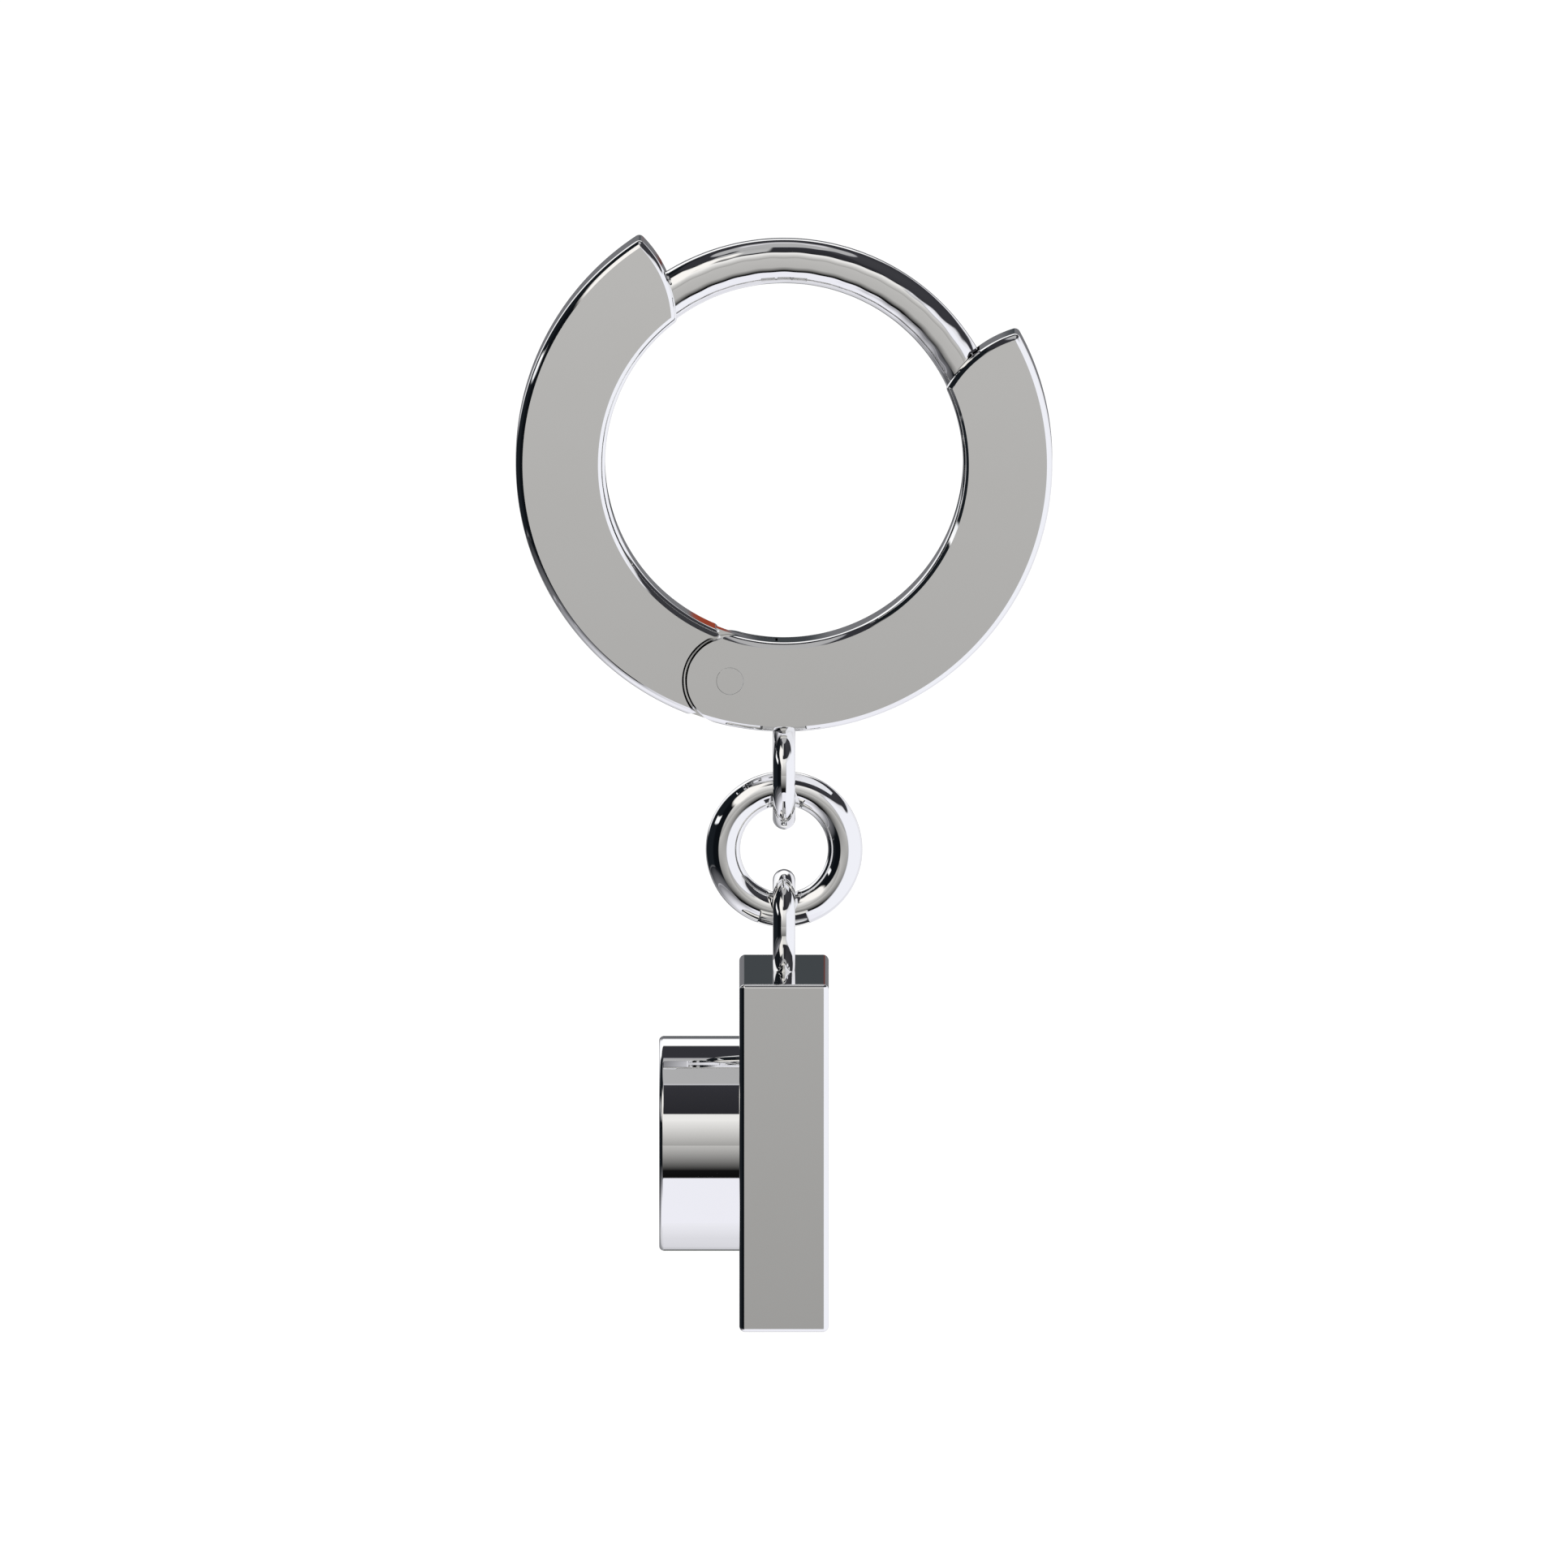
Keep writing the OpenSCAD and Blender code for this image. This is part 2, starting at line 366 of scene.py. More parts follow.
@dataclass(frozen=True)
class SilverFinish:
    """A polished silver finish.

    Attributes:
        name: The material's name.
        silver: Linear colour of clean silver.
        toned: Linear colour where the silver has toned a little.
        toning: How much of the toned colour shows at most.
        smooth: Roughness of the clean polish.
        haze: Roughness that the haze adds at most.
        haze_size: Size of a patch of haze, in millimetres.
        hairline_size: Width of a hairline, in millimetres.
        hairline_stretch: Length of a hairline in widths.
        hairline_depth: Depth of the hairlines, in millimetres.
        shaded_seams: Bands of painted shade along the rims of a round seam, standing in for the shade in its
            gap.
        seam_shade_limit: Band outside of which the painted seam shade stops.
        seam_shade_colour: Linear colour of the painted seam shade.
    """

    name: str
    silver: Colour = (0.90, 0.90, 0.89)
    toned: Colour = (0.86, 0.85, 0.82)
    toning: float = 0.12
    smooth: float = 0.012
    haze: float = 0.014
    haze_size: float = 1.6
    hairline_size: float = 0.035
    hairline_stretch: float = 14.0
    hairline_depth: float = 0.000006
    shaded_seams: tuple[Band, ...] = ()
    seam_shade_limit: Band | None = None
    # Painted shade: near-black colour laid along the hinge seam's rims, standing in for the shade in the gap.
    seam_shade_colour: Colour = (0.012, 0.012, 0.014)

    def material(self) -> bpy.types.Material:
        """Builds the finish once.

        Returns:
            Its material.
        """
        made = bpy.data.materials.get(self.name)
        if made is not None:
            return made
        made = bpy.data.materials.new(self.name)
        made.use_nodes = True
        made.diffuse_color = (*self.silver, 1.0)
        graph = Graph(made.node_tree)
        graph.tree.nodes.clear()
        place = graph.node("ShaderNodeTexCoord").outputs["Object"]
        group = bpy.data.node_groups.get("polish_marks") or polish_marks_group()
        marks_inputs = {
            "Vector": place, "Silver": (*self.silver, 1.0), "Toned Silver": (*self.toned, 1.0),
            "Toning": self.toning, "Smooth": self.smooth, "Haze": self.haze, "Haze Size": self.haze_size,
            "Hairline Size": self.hairline_size, "Hairline Stretch": self.hairline_stretch,
        }
        marks = graph.group(group, marks_inputs)
        colour = marks["Colour"]
        # Painted shade: where the seam bands lie, within their limit, the silver is mixed to near black to
        # stand in for the shade in the hinge gap.
        if self.shaded_seams:
            shares = [seam.share(graph, place) for seam in self.shaded_seams]
            seam_shade_share = reduce(partial(graph.math, "MAXIMUM"), shares)
            if self.seam_shade_limit:
                seam_shade_share = graph.math("MULTIPLY", seam_shade_share, self.seam_shade_limit.share(graph, place))
            colour = graph.mix(seam_shade_share, colour, (*self.seam_shade_colour, 1.0))
        bump_inputs = {"Height": marks["Height"], "Distance": self.hairline_depth * METRES}
        bump = graph.node("ShaderNodeBump", bump_inputs).outputs["Normal"]
        shader_inputs = {
            "Base Color": colour, "Metallic": 1.0, "Roughness": marks["Roughness"], "Normal": bump,
        }
        shader = graph.node("ShaderNodeBsdfPrincipled", shader_inputs)
        graph.node("ShaderNodeOutputMaterial", {"Surface": shader.outputs["BSDF"]})
        return made


HOOP_SILVER = SilverFinish("hoop_silver")
WIRE_SILVER = SilverFinish("wire_silver", hairline_stretch=30.0, haze=0.01)
PLAQUE_SILVER = SilverFinish("plaque_silver", haze_size=2.4)
PIN_SILVER = SilverFinish("rod_silver", silver=(0.89, 0.89, 0.88), hairline_stretch=4.0)


@dataclass(frozen=True)
class Arc:
    """A stretch of an outline that runs counterclockwise round the metal.

    Attributes:
        centre: Centre of the arc's circle.
        radius: Radius of the circle.
        start: Direction in which the stretch starts, in radians.
        end: Direction in which it ends.
        hollow: True where the metal lies outside the circle.
    """

    centre: Point
    radius: float
    start: float
    end: float
    hollow: bool = False

    def drawn_in(self, inset: float) -> "Arc":
        """The same stretch once the outline is drawn in by an inset."""
        return replace(self, radius=self.radius + inset if self.hollow else self.radius - inset)

    def point(self, direction: float) -> Point:
        """The point of the circle in a direction."""
        return self.centre[0] + self.radius * cos(direction), self.centre[1] + self.radius * sin(direction)

    def sweep(self) -> float:
        """The angle from start to end, clockwise and negative where the circle is hollow."""
        turn = (self.end - self.start) % (2 * pi)
        return turn - 2 * pi if self.hollow else turn

    def steps(self, step: float) -> int:
        """How many steps the stretch takes if each is at most a step of angle."""
        return max(2, ceil(abs(self.sweep()) / step))

    def points(self, count: int) -> list[Point]:
        """The points along the stretch, in a number of steps, without the last one."""
        return [self.point(self.start + self.sweep() * i / count) for i in range(count)]

    def stepped(self, step: float) -> list[Point]:
        """The points along the stretch, without the last one, at most a step of angle apart."""
        return self.points(self.steps(step))


def crossing(first: Arc, second: Arc, near: Point) -> Point:
    """Finds where the circles of two arcs cross.

    Args:
        first: One arc.
        second: The other arc.
        near: Of the two crossings, the one nearest to this point is meant.

    Returns:
        The crossing.
    """
    across = Vector(second.centre) - Vector(first.centre)
    apart = across.length
    along = (apart * apart + first.radius ** 2 - second.radius ** 2) / (2 * apart)
    aside = sqrt(max(0.0, first.radius ** 2 - along * along))
    unit = across / apart
    foot = Vector(first.centre) + unit * along
    side = Vector((-unit.y, unit.x)) * aside
    found = min((foot + side, foot - side), key=lambda spot: (spot - Vector(near)).length)
    return found.x, found.y


def direction(start: Point, end: Point) -> float:
    """The direction from one point to another, in radians."""
    return atan2(end[1] - start[1], end[0] - start[0])


@dataclass(frozen=True)
class EdgeRound:
    """A polished edge between a flat face and a wall.

    It is a wide sweep from the face, then a tight one into the wall.

    Attributes:
        width: How far it reaches in from the wall.
        share: Share of the width that the wide sweep takes.
        wide: Degrees by which the wide sweep is turned away from the face at its start and end.
        tight: The same for the tight sweep.
        rows: Rows of faces along each sweep.
    """

    width: float
    share: float = 0.82
    wide: Point = (15.0, 60.0)
    tight: Point = (60.0, 90.0)
    rows: int = 6

    def points(self) -> list[Point]:
        """Draws the edge's profile.

        Returns:
            Points of depth below the face and distance in from the wall, from the face to the wall.
        """
        found = [(0.0, self.width)]
        for share, ends in ((self.share, self.wide), (1 - self.share, self.tight)):
            first, last = (radians(angle) for angle in ends)
            radius = share * self.width / (sin(last) - sin(first))
            depth, inset = found[-1]
            for row in range(1, self.rows + 1):
                turn = first + (last - first) * row / self.rows
                sunk, gone = radius * (cos(first) - cos(turn)), radius * (sin(turn) - sin(first))
                found.append((depth + sunk, inset - gone))
        return found

    def inset(self, depth: float) -> float:
        """Measures the edge at one level.

        Args:
            depth: Depth below the face.

        Returns:
            How far the edge stands back from the wall there.
        """
        found = self.points()
        for (high, far), (low, near) in zip(found, found[1:]):
            if depth <= low:
                return far + (near - far) * (depth - high) / (low - high)
        return 0.0


def face_rows(edges: Iterable[EdgeRound], half_width: float, room: float = 0.0015) -> list[Point]:
    """Places the rows of points of a solid with rounded edges, from one flat face to the other.

    Args:
        edges: The rounds along its edges.
        half_width: Half the distance between the faces.
        room: Least distance between two rows.

    Returns:
        Each row's depth below the nearer face and its place along Y.
    """
    depths = [0.0]
    for depth in sorted(point[0] for edge in edges for point in edge.points()):
        if depth - depths[-1] >= room:
            depths.append(depth)
    rows = [(depth, depth - half_width) for depth in depths]
    return rows + [(depth, -along) for depth, along in reversed(rows)]


@dataclass(frozen=True)
class Side:
    """One stretch of a solid's outline, with its rounded edges and corner.

    Attributes:
        arc: The stretch.
        edge: Round between the stretch and the flat faces.
        corner: Rounding of the upright corner where it meets the next side, 0 for a plain meeting.
    """

    arc: Arc
    edge: EdgeRound
    corner: float


def outline_at(sides: Sequence[Side], depth: float) -> list[Arc]:
    """Draws a solid's outline at a depth below its flat face.

    Args:
        sides: The sides in order, each meeting the next.
        depth: The depth.

    Returns:
        The sides' arcs, drawn in as their edges ask, with the corners' roundings between them.
    """
    insets = [side.edge.inset(depth) for side in sides]
    drawn = [side.arc.drawn_in(inset) for side, inset in zip(sides, insets)]
    rounds: list[Arc | None] = []
    for index, side in enumerate(sides):
        after = (index + 1) % len(sides)
        rounding = max(side.corner - max(insets[index], insets[after]), 0.0)
        meeting = (drawn[index].drawn_in(rounding), drawn[after].drawn_in(rounding))
        centre = crossing(*meeting, side.arc.point(side.arc.end))
        leave, reach = (direction(arc.centre, centre) for arc in meeting)
        drawn[index] = replace(drawn[index], end=leave)
        drawn[after] = replace(drawn[after], start=reach)
        turns = [pi if arc.hollow else 0.0 for arc in meeting]
        rounds.append(Arc(centre, rounding, leave + turns[0], reach + turns[1]) if side.corner else None)
    return [arc for pair in zip(drawn, rounds) for arc in pair if arc is not None]


def mesh_object(name: str, shape: bmesh.types.BMesh) -> bpy.types.Object:
    """Turns a bmesh into an object in the scene, with doubles merged and faces outwards.

    Args:
        name: The object's name.
        shape: The bmesh, which is freed.

    Returns:
        The object.
    """
    bmesh.ops.remove_doubles(shape, verts=shape.verts, dist=MERGE_DISTANCE)
    bmesh.ops.recalc_face_normals(shape, faces=shape.faces)
    mesh = bpy.data.meshes.new(name)
    shape.to_mesh(mesh)
    shape.free()
    made = bpy.data.objects.new(name, mesh)
    bpy.context.scene.collection.objects.link(made)
    return made


def ring_stack(name: str, rings: Iterable[Sequence[Vector]]) -> bpy.types.Object:
    """Joins closed rings of points into a capped solid.

    Args:
        name: The object's name.
        rings: Rings with the same number of points, from one cap to the other.

    Returns:
        The solid.
    """
    shape = bmesh.new()
    rows = [[shape.verts.new(point) for point in ring] for ring in rings]
    count = len(rows[0])
    for low, high in zip(rows, rows[1:]):
        for i in range(count):
            after = (i + 1) % count
            shape.faces.new((low[i], low[after], high[after], high[i]))
    shape.faces.new(rows[0])
    shape.faces.new(rows[-1])
    return mesh_object(name, shape)


def prism(name: str, outline: Sequence[Point], half_width: float) -> bpy.types.Object:
    """A straight prism along Y from an outline in the XZ plane."""
    rings = [[Vector((x, side * half_width, z)) for x, z in outline] for side in (-1, 1)]
    return ring_stack(name, rings)


def baked(piece: bpy.types.Object) -> bpy.types.Object:
    """Turns a piece with modifiers into a plain mesh.

    Args:
        piece: The piece, which keeps its name.

    Returns:
        The piece.
    """
    depsgraph = bpy.context.evaluated_depsgraph_get()
    mesh = bpy.data.meshes.new_from_object(piece.evaluated_get(depsgraph))
    before = piece.data
    piece.modifiers.clear()
    piece.data = mesh
    mesh.name = piece.name
    bpy.data.meshes.remove(before)
    return piece


def combine(piece: bpy.types.Object, tools: Sequence[tuple[str, bpy.types.Object]]) -> bpy.types.Object:
    """Adds solids to a piece or cuts them out of it.

    Args:
        piece: The solid that is changed.
        tools: Operation and solid, in order. The solids are removed afterwards.

    Returns:
        The piece.
    """
    for operation, tool in tools:
        modifier = piece.modifiers.new(operation.lower(), "BOOLEAN")
        modifier.operation = operation
        modifier.solver = "EXACT"
        modifier.object = tool
    baked(piece)
    for _, tool in tools:
        mesh = tool.data
        bpy.data.objects.remove(tool)
        bpy.data.meshes.remove(mesh)
    shape = bmesh.new()
    shape.from_mesh(piece.data)
    bmesh.ops.remove_doubles(shape, verts=shape.verts, dist=CUT_MERGE_DISTANCE)
    shape.to_mesh(piece.data)
    shape.free()
    return piece


def dressed(piece: bpy.types.Object, finish: SilverFinish) -> bpy.types.Object:
    """Gives a solid its smooth shading and finish and turns it into metres.

    Args:
        piece: The solid, in millimetres.
        finish: Its finish.

    Returns:
        The piece.
    """
    mesh = piece.data
    mesh.shade_smooth()
    mesh.set_sharp_from_angle(angle=SHARP_ANGLE)
    weighted = piece.modifiers.new("weighted_normals", "WEIGHTED_NORMAL")
    weighted.mode = "FACE_AREA"
    weighted.keep_sharp = True
    baked(piece)
    piece.data.transform(Matrix.Scale(METRES, 4))
    piece.data.materials.clear()
    piece.data.materials.append(finish.material())
    return piece


def settled(piece: bpy.types.Object, body: Body, slot: Slot, *nodes: str) -> None:
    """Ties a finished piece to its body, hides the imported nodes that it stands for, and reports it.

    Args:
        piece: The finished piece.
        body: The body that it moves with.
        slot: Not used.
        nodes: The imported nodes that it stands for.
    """
    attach(piece, body.value)
    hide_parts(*nodes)
    LOG.info("%s: %d faces on body %s", piece.name, len(piece.data.polygons), body.value)


@dataclass
class HoopPlan:
    """Sizes that the parts of the hoop share, in millimetres and radians.

    Attributes:
        bore_r: Inside radius of the hoop.
        corner: Rounding of the upright corners of the ends.
        lip: Rounding of the seat's two lips.
        half_outer: Angle of each half on the outside, from the hinge to the corner of its end.
        half_inner: The same on the inside.
        bulge_r: Radius of the bulge of each half's end face.
        seam_gap: Room between the nose and the seat.
        slot_gap: Room between the tongue and the slot.
        tongue_w: Thickness of the tongue.
        tongue_r: Radius of the tongue's round end.
        slot_r: Radius of the slot's round end.
        tongue_reach: How far the tongue's square end reaches past the pin.
        pin_run_gap: Room round the pin in the tongue.
        pin_seat_gap: Room round the pin in the cheeks.
        post_side: Thickness of the ear post.
        post_inset: How far the post stands back from the inside of the hoop.
        catch_depth: Depth of the catch groove.
        catch_gap: Room round the post in the groove.
        nose_turn: Angle past the hinge line within which the walls meet the nose or the seat.
        seam_shade_w: Width of the painted shade along each rim of the hinge seam.
        seam_shade_feather: Width over which the painted seam shade fades.
        seam_shade_reach: How far it reaches from the seam's middle, as a share of the nose's radius.
        reach_feather: Width over which it ends there.
        wall_step: Angle between two points along the hoop's walls.
        round_step: Angle between two points along a small round.
        outer_r: Outside radius of the hoop, as packed.
        half_w: Half the hoop's width along its axis, as packed.
        centre_z: Height of the hoop's centre.
        pin_at: The pin's place from the hoop's centre, as packed.
        pin_r: The pin's radius, as packed.
        hinge: Direction of the pin from the hoop's centre.
    """

    bore_r: float = 4.0
    corner: float = 0.13
    lip: float = 0.1
    half_outer: float = radians(133.5)
    half_inner: float = radians(129.2)
    bulge_r: float = 2.6
    seam_gap: float = 0.035
    slot_gap: float = 0.05
    tongue_w: float = 0.6
    tongue_r: float = 0.93
    slot_r: float = 1.12
    tongue_reach: float = 0.78
    pin_run_gap: float = 0.03
    pin_seat_gap: float = 0.004
    post_side: float = 1.0
    post_inset: float = 0.01
    catch_depth: float = 0.98
    catch_gap: float = 0.05
    nose_turn: float = radians(8)
    seam_shade_w: float = 0.036
    seam_shade_feather: float = 0.004
    seam_shade_reach: float = 0.84
    reach_feather: float = 0.1
    wall_step: float = radians(1)
    round_step: float = radians(9)
    outer_r: float = field(init=False)
    half_w: float = field(init=False)
    centre_z: float = field(init=False)
    pin_at: Point = field(init=False)
    pin_r: float = field(init=False)
    hinge: float = field(init=False)

    def __post_init__(self) -> None:
        """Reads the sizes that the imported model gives."""
        low, high = box_mm("front_half")
        self.outer_r = -low.x
        self.half_w = high.y
        self.centre_z = -self.post_r
        pin = joint_mm("hoop_hinge")
        self.pin_at = (pin.x, pin.z - self.centre_z)
        self.hinge = direction((0.0, 0.0), self.pin_at)
        pin_low, pin_high = box_mm("hinge_pin")
        self.pin_r = (pin_high.x - pin_low.x) / 2

    @property
    def post_r(self) -> float:
        """Mean radius of the ear post round the hoop's centre."""
        return self.bore_r + self.post_inset + self.post_side / 2

    @property
    def mid_r(self) -> float:
        """Radius midway between the hoop's walls."""
        return (self.outer_r + self.bore_r) / 2

    @property
    def wall(self) -> float:
        """Thickness of the hoop between its walls."""
        return self.outer_r - self.bore_r

    @property
    def catch_direction(self) -> float:
        """Direction of the catch groove's far end."""
        return self.hinge + self.half_inner - self.catch_depth / self.post_r

    @property
    def tip_direction(self) -> float:
        """Direction of the ear post's tip."""
        return self.catch_direction + self.catch_gap / self.post_r

    def half_sides(self, hinge_end: HingeEnd, edges: Sequence[EdgeRound]) -> list[Side]:
        """Draws one half in a frame where the hinge lies along the first axis.

        Args:
            hinge_end: How the half ends at the hinge.
            edges: Rounds along the outer wall, the end face, the inner wall and the hinge seam.

        Returns:
            The outline's sides, counterclockwise.
        """
        centre, pin = (0.0, 0.0), (self.mid_r, 0.0)
        top = Vector((cos(self.half_outer), sin(self.half_outer))) * self.outer_r
        foot = Vector((cos(self.half_inner), sin(self.half_inner))) * self.bore_r
        chord = top - foot
        normal = Vector((-chord.y, chord.x)).normalized()
        middle = (top + foot) / 2
        bulge_at = tuple(middle - normal * sqrt(self.bulge_r ** 2 - (chord.length / 2) ** 2))
        from_top, to_foot = direction(bulge_at, tuple(top)), direction(bulge_at, tuple(foot))
        bulge = Arc(bulge_at, self.bulge_r, from_top, to_foot)
        if hinge_end is HingeEnd.NOSE:
            before, joint_corner = -self.nose_turn, 0.0
            joint = Arc(pin, self.wall / 2, pi - before, 2 * pi + before)
        else:
            before, joint_corner = self.nose_turn, self.lip
            joint = Arc(pin, self.wall / 2 + self.seam_gap, pi - before, before, hollow=True)
        outer = Arc(centre, self.outer_r, before, self.half_outer)
        inner = Arc(centre, self.bore_r, self.half_inner, before, hollow=True)
        corners = (self.corner, self.corner, joint_corner, joint_corner)
        return [Side(*side) for side in zip((outer, bulge, inner, joint), edges, corners)]

    def placed(self, point: Point, depth: float, mirrored: bool) -> Vector:
        """Takes a point from the hinge frame to its place in the hoop.

        Args:
            point: Point in the hinge frame.
            depth: Its place along the hoop's axis.
            mirrored: True for the half on the other side of the hinge.

        Returns:
            The point in the earring's frame.
        """
        u, v = point
        v = -v if mirrored else v
        x = u * cos(self.hinge) - v * sin(self.hinge)
        z = u * sin(self.hinge) + v * cos(self.hinge)
        return Vector((x, depth, z + self.centre_z))

    def step_along(self, arc: Arc) -> float:
        """The angle between two points along an arc, which is least on the walls."""
        return self.wall_step if arc.radius > self.bulge_r else self.round_step / (1 + arc.radius)

    def half_solid(self, name: str, sides: Sequence[Side], mirrored: bool) -> bpy.types.Object:
        """Builds one half of the hoop with its rounded edges and corners.

        Args:
            name: The object's name.
            sides: The half's sides.
            mirrored: True for the half on the other side of the hinge.

        Returns:
            The solid.
        """
        rows = face_rows({side.edge for side in sides}, self.half_w)
        deepest = max(depth for depth, _ in rows)
        counts = [arc.steps(self.step_along(arc)) for arc in outline_at(sides, deepest)]
        rings = []
        for depth, along in rows:
            arcs = outline_at(sides, depth)
            points = [point for arc, count in zip(arcs, counts) for point in arc.points(count)]
            rings.append([self.placed(point, along, mirrored) for point in points])
        return ring_stack(name, rings)

    def silver(self) -> SilverFinish:
        """Mixes the hoop's finish, with painted shade along both rims of the hinge seam.

        Returns:
            The finish.
        """
        nose = self.wall / 2
        seat = nose + self.seam_gap
        (pin_x, pin_z), (far_x, far_z) = self.at_pin([(0.0, 0.0), (-nose, 0.0)])
        axis = (pin_x, 0.0, pin_z)
        # Painted shade along the nose's rim and the seat's rim, kept to the seam's middle.
        shaded_seams = (
            Band(axis, nose - self.seam_shade_w, nose, self.seam_shade_feather),
            Band(axis, seat, seat + self.seam_shade_w, self.seam_shade_feather),
        )
        reach = Band((far_x, 0.0, far_z), -self.wall, self.seam_shade_reach * nose, self.reach_feather)
        return replace(HOOP_SILVER, shaded_seams=shaded_seams, seam_shade_limit=reach)

    def at_pin(self, points: Iterable[Point]) -> list[Point]:
        """Takes points from the pin's frame, whose second axis points to the hoop's centre.

        Args:
            points: Points in the pin's frame.

        Returns:
            The points in the XZ plane.
        """
        turn = self.hinge + pi / 2
        pin_x, pin_z = self.pin_at
        return [
            (pin_x + p * cos(turn) - q * sin(turn), self.centre_z + pin_z + p * sin(turn) + q * cos(turn))
            for p, q in points
        ]

    def bore(self, name: str, radius: float) -> bpy.types.Object:
        """A round cutter on the pin, right through the hoop."""
        circle = Arc((0.0, 0.0), radius, 0.0, FULL_TURN)
        return prism(name, self.at_pin(circle.stepped(self.round_step)), 2 * self.half_w)


@dataclass
class FrontHalf:
    """The front half of the hoop with its tongue, and the ear post soldered into it.

    Attributes:
        plan: The hoop's shared sizes.
        edges: Rounds along the outer wall, the end face, the inner wall and the hinge seam.
        tongue_root: Angle from the hinge at which the tongue starts, inside the half.
        tongue_inset: How far the tongue's ends stand back from the hoop's walls.
        post_root: How far the post runs into the half, as an angle from its inner corner.
        post_round: Rounding of the post's edges.
        post_steps: Steps along the post.
        post_corner_steps: Steps round each of its edges.
        ripples: How many faint ripples from bending a full turn would hold.
        ripple_depth: How far they pinch the post's rounded edges.
    """

    plan: HoopPlan
    edges: tuple[EdgeRound, ...] = (
        EdgeRound(0.152),
        EdgeRound(0.12, wide=(24.0, 60.0)),
        EdgeRound(0.16, wide=(28.0, 60.0)),
        EdgeRound(0.02, wide=(45.0, 60.0)),
    )
    tongue_root: float = radians(16)
    tongue_inset: float = 0.004
    post_root: float = radians(8)
    post_round: float = 0.4
    post_steps: int = 240
    post_corner_steps: int = 14
    ripples: float = 47.0
    ripple_depth: float = 0.006

    def build(self) -> None:
        """Makes the half and the post and ties them to the front body."""
        sides = self.plan.half_sides(HingeEnd.SEAT, self.edges)
        half = self.plan.half_solid("front_arc", sides, mirrored=True)
        bore = self.plan.bore("tongue_bore", self.plan.pin_r + self.plan.pin_run_gap)
        combine(half, (("UNION", self.tongue()), ("DIFFERENCE", bore)))
        settled(dressed(half, self.plan.silver()), Body.FRONT, Slot.POLISHED, "front_half")
        settled(dressed(self.post(), WIRE_SILVER), Body.FRONT, Slot.POLISHED, "front_half")

    def tongue(self) -> bpy.types.Object:
        """Makes the tongue, a plate with a round end and a square corner flush with the hoop's inside.

        Returns:
            The solid.
        """
        plan = self.plan
        middle = (0.0, plan.mid_r)
        outer, inner = plan.outer_r - self.tongue_inset, plan.bore_r + self.tongue_inset
        down = -pi / 2
        corner = down + asin(plan.tongue_reach / inner)
        outline = Arc(middle, outer, down - self.tongue_root, down).stepped(plan.wall_step)
        outline.append((0.0, plan.mid_r - outer))
        outline += Arc((0.0, 0.0), plan.tongue_r, down, 0.0).stepped(plan.round_step)
        outline += [(plan.tongue_r, 0.0), (plan.tongue_reach, 0.0)]
        top = Arc(middle, inner, corner, down - self.tongue_root, hollow=True)
        outline += top.stepped(plan.wall_step)
        outline.append(top.point(top.end))
        return prism("tongue", plan.at_pin(outline), plan.tongue_w / 2)

    def post(self) -> bpy.types.Object:
        """Sweeps the ear post from its tip in the catch groove to its root inside the half.

        Returns:
            The piece, in millimetres.
        """
        plan = self.plan
        root = plan.hinge - plan.half_inner + self.post_root
        start = plan.tip_direction % (2 * pi)
        sizes = {
            "Path Radius": plan.post_r,
            "From Angle": start,
            "Sweep": (root - start) % (2 * pi),
            "Path Steps": self.post_steps,
            "Side": plan.post_side,
            "Rounding": self.post_round,
            "Corner Steps": self.post_corner_steps,
            "Ripples": self.ripples,
            "Ripple Depth": self.ripple_depth,
            "Place": (0.0, 0.0, plan.centre_z),
        }
        return grown("ear_post", bar_tree(), sizes, WIRE_SILVER)


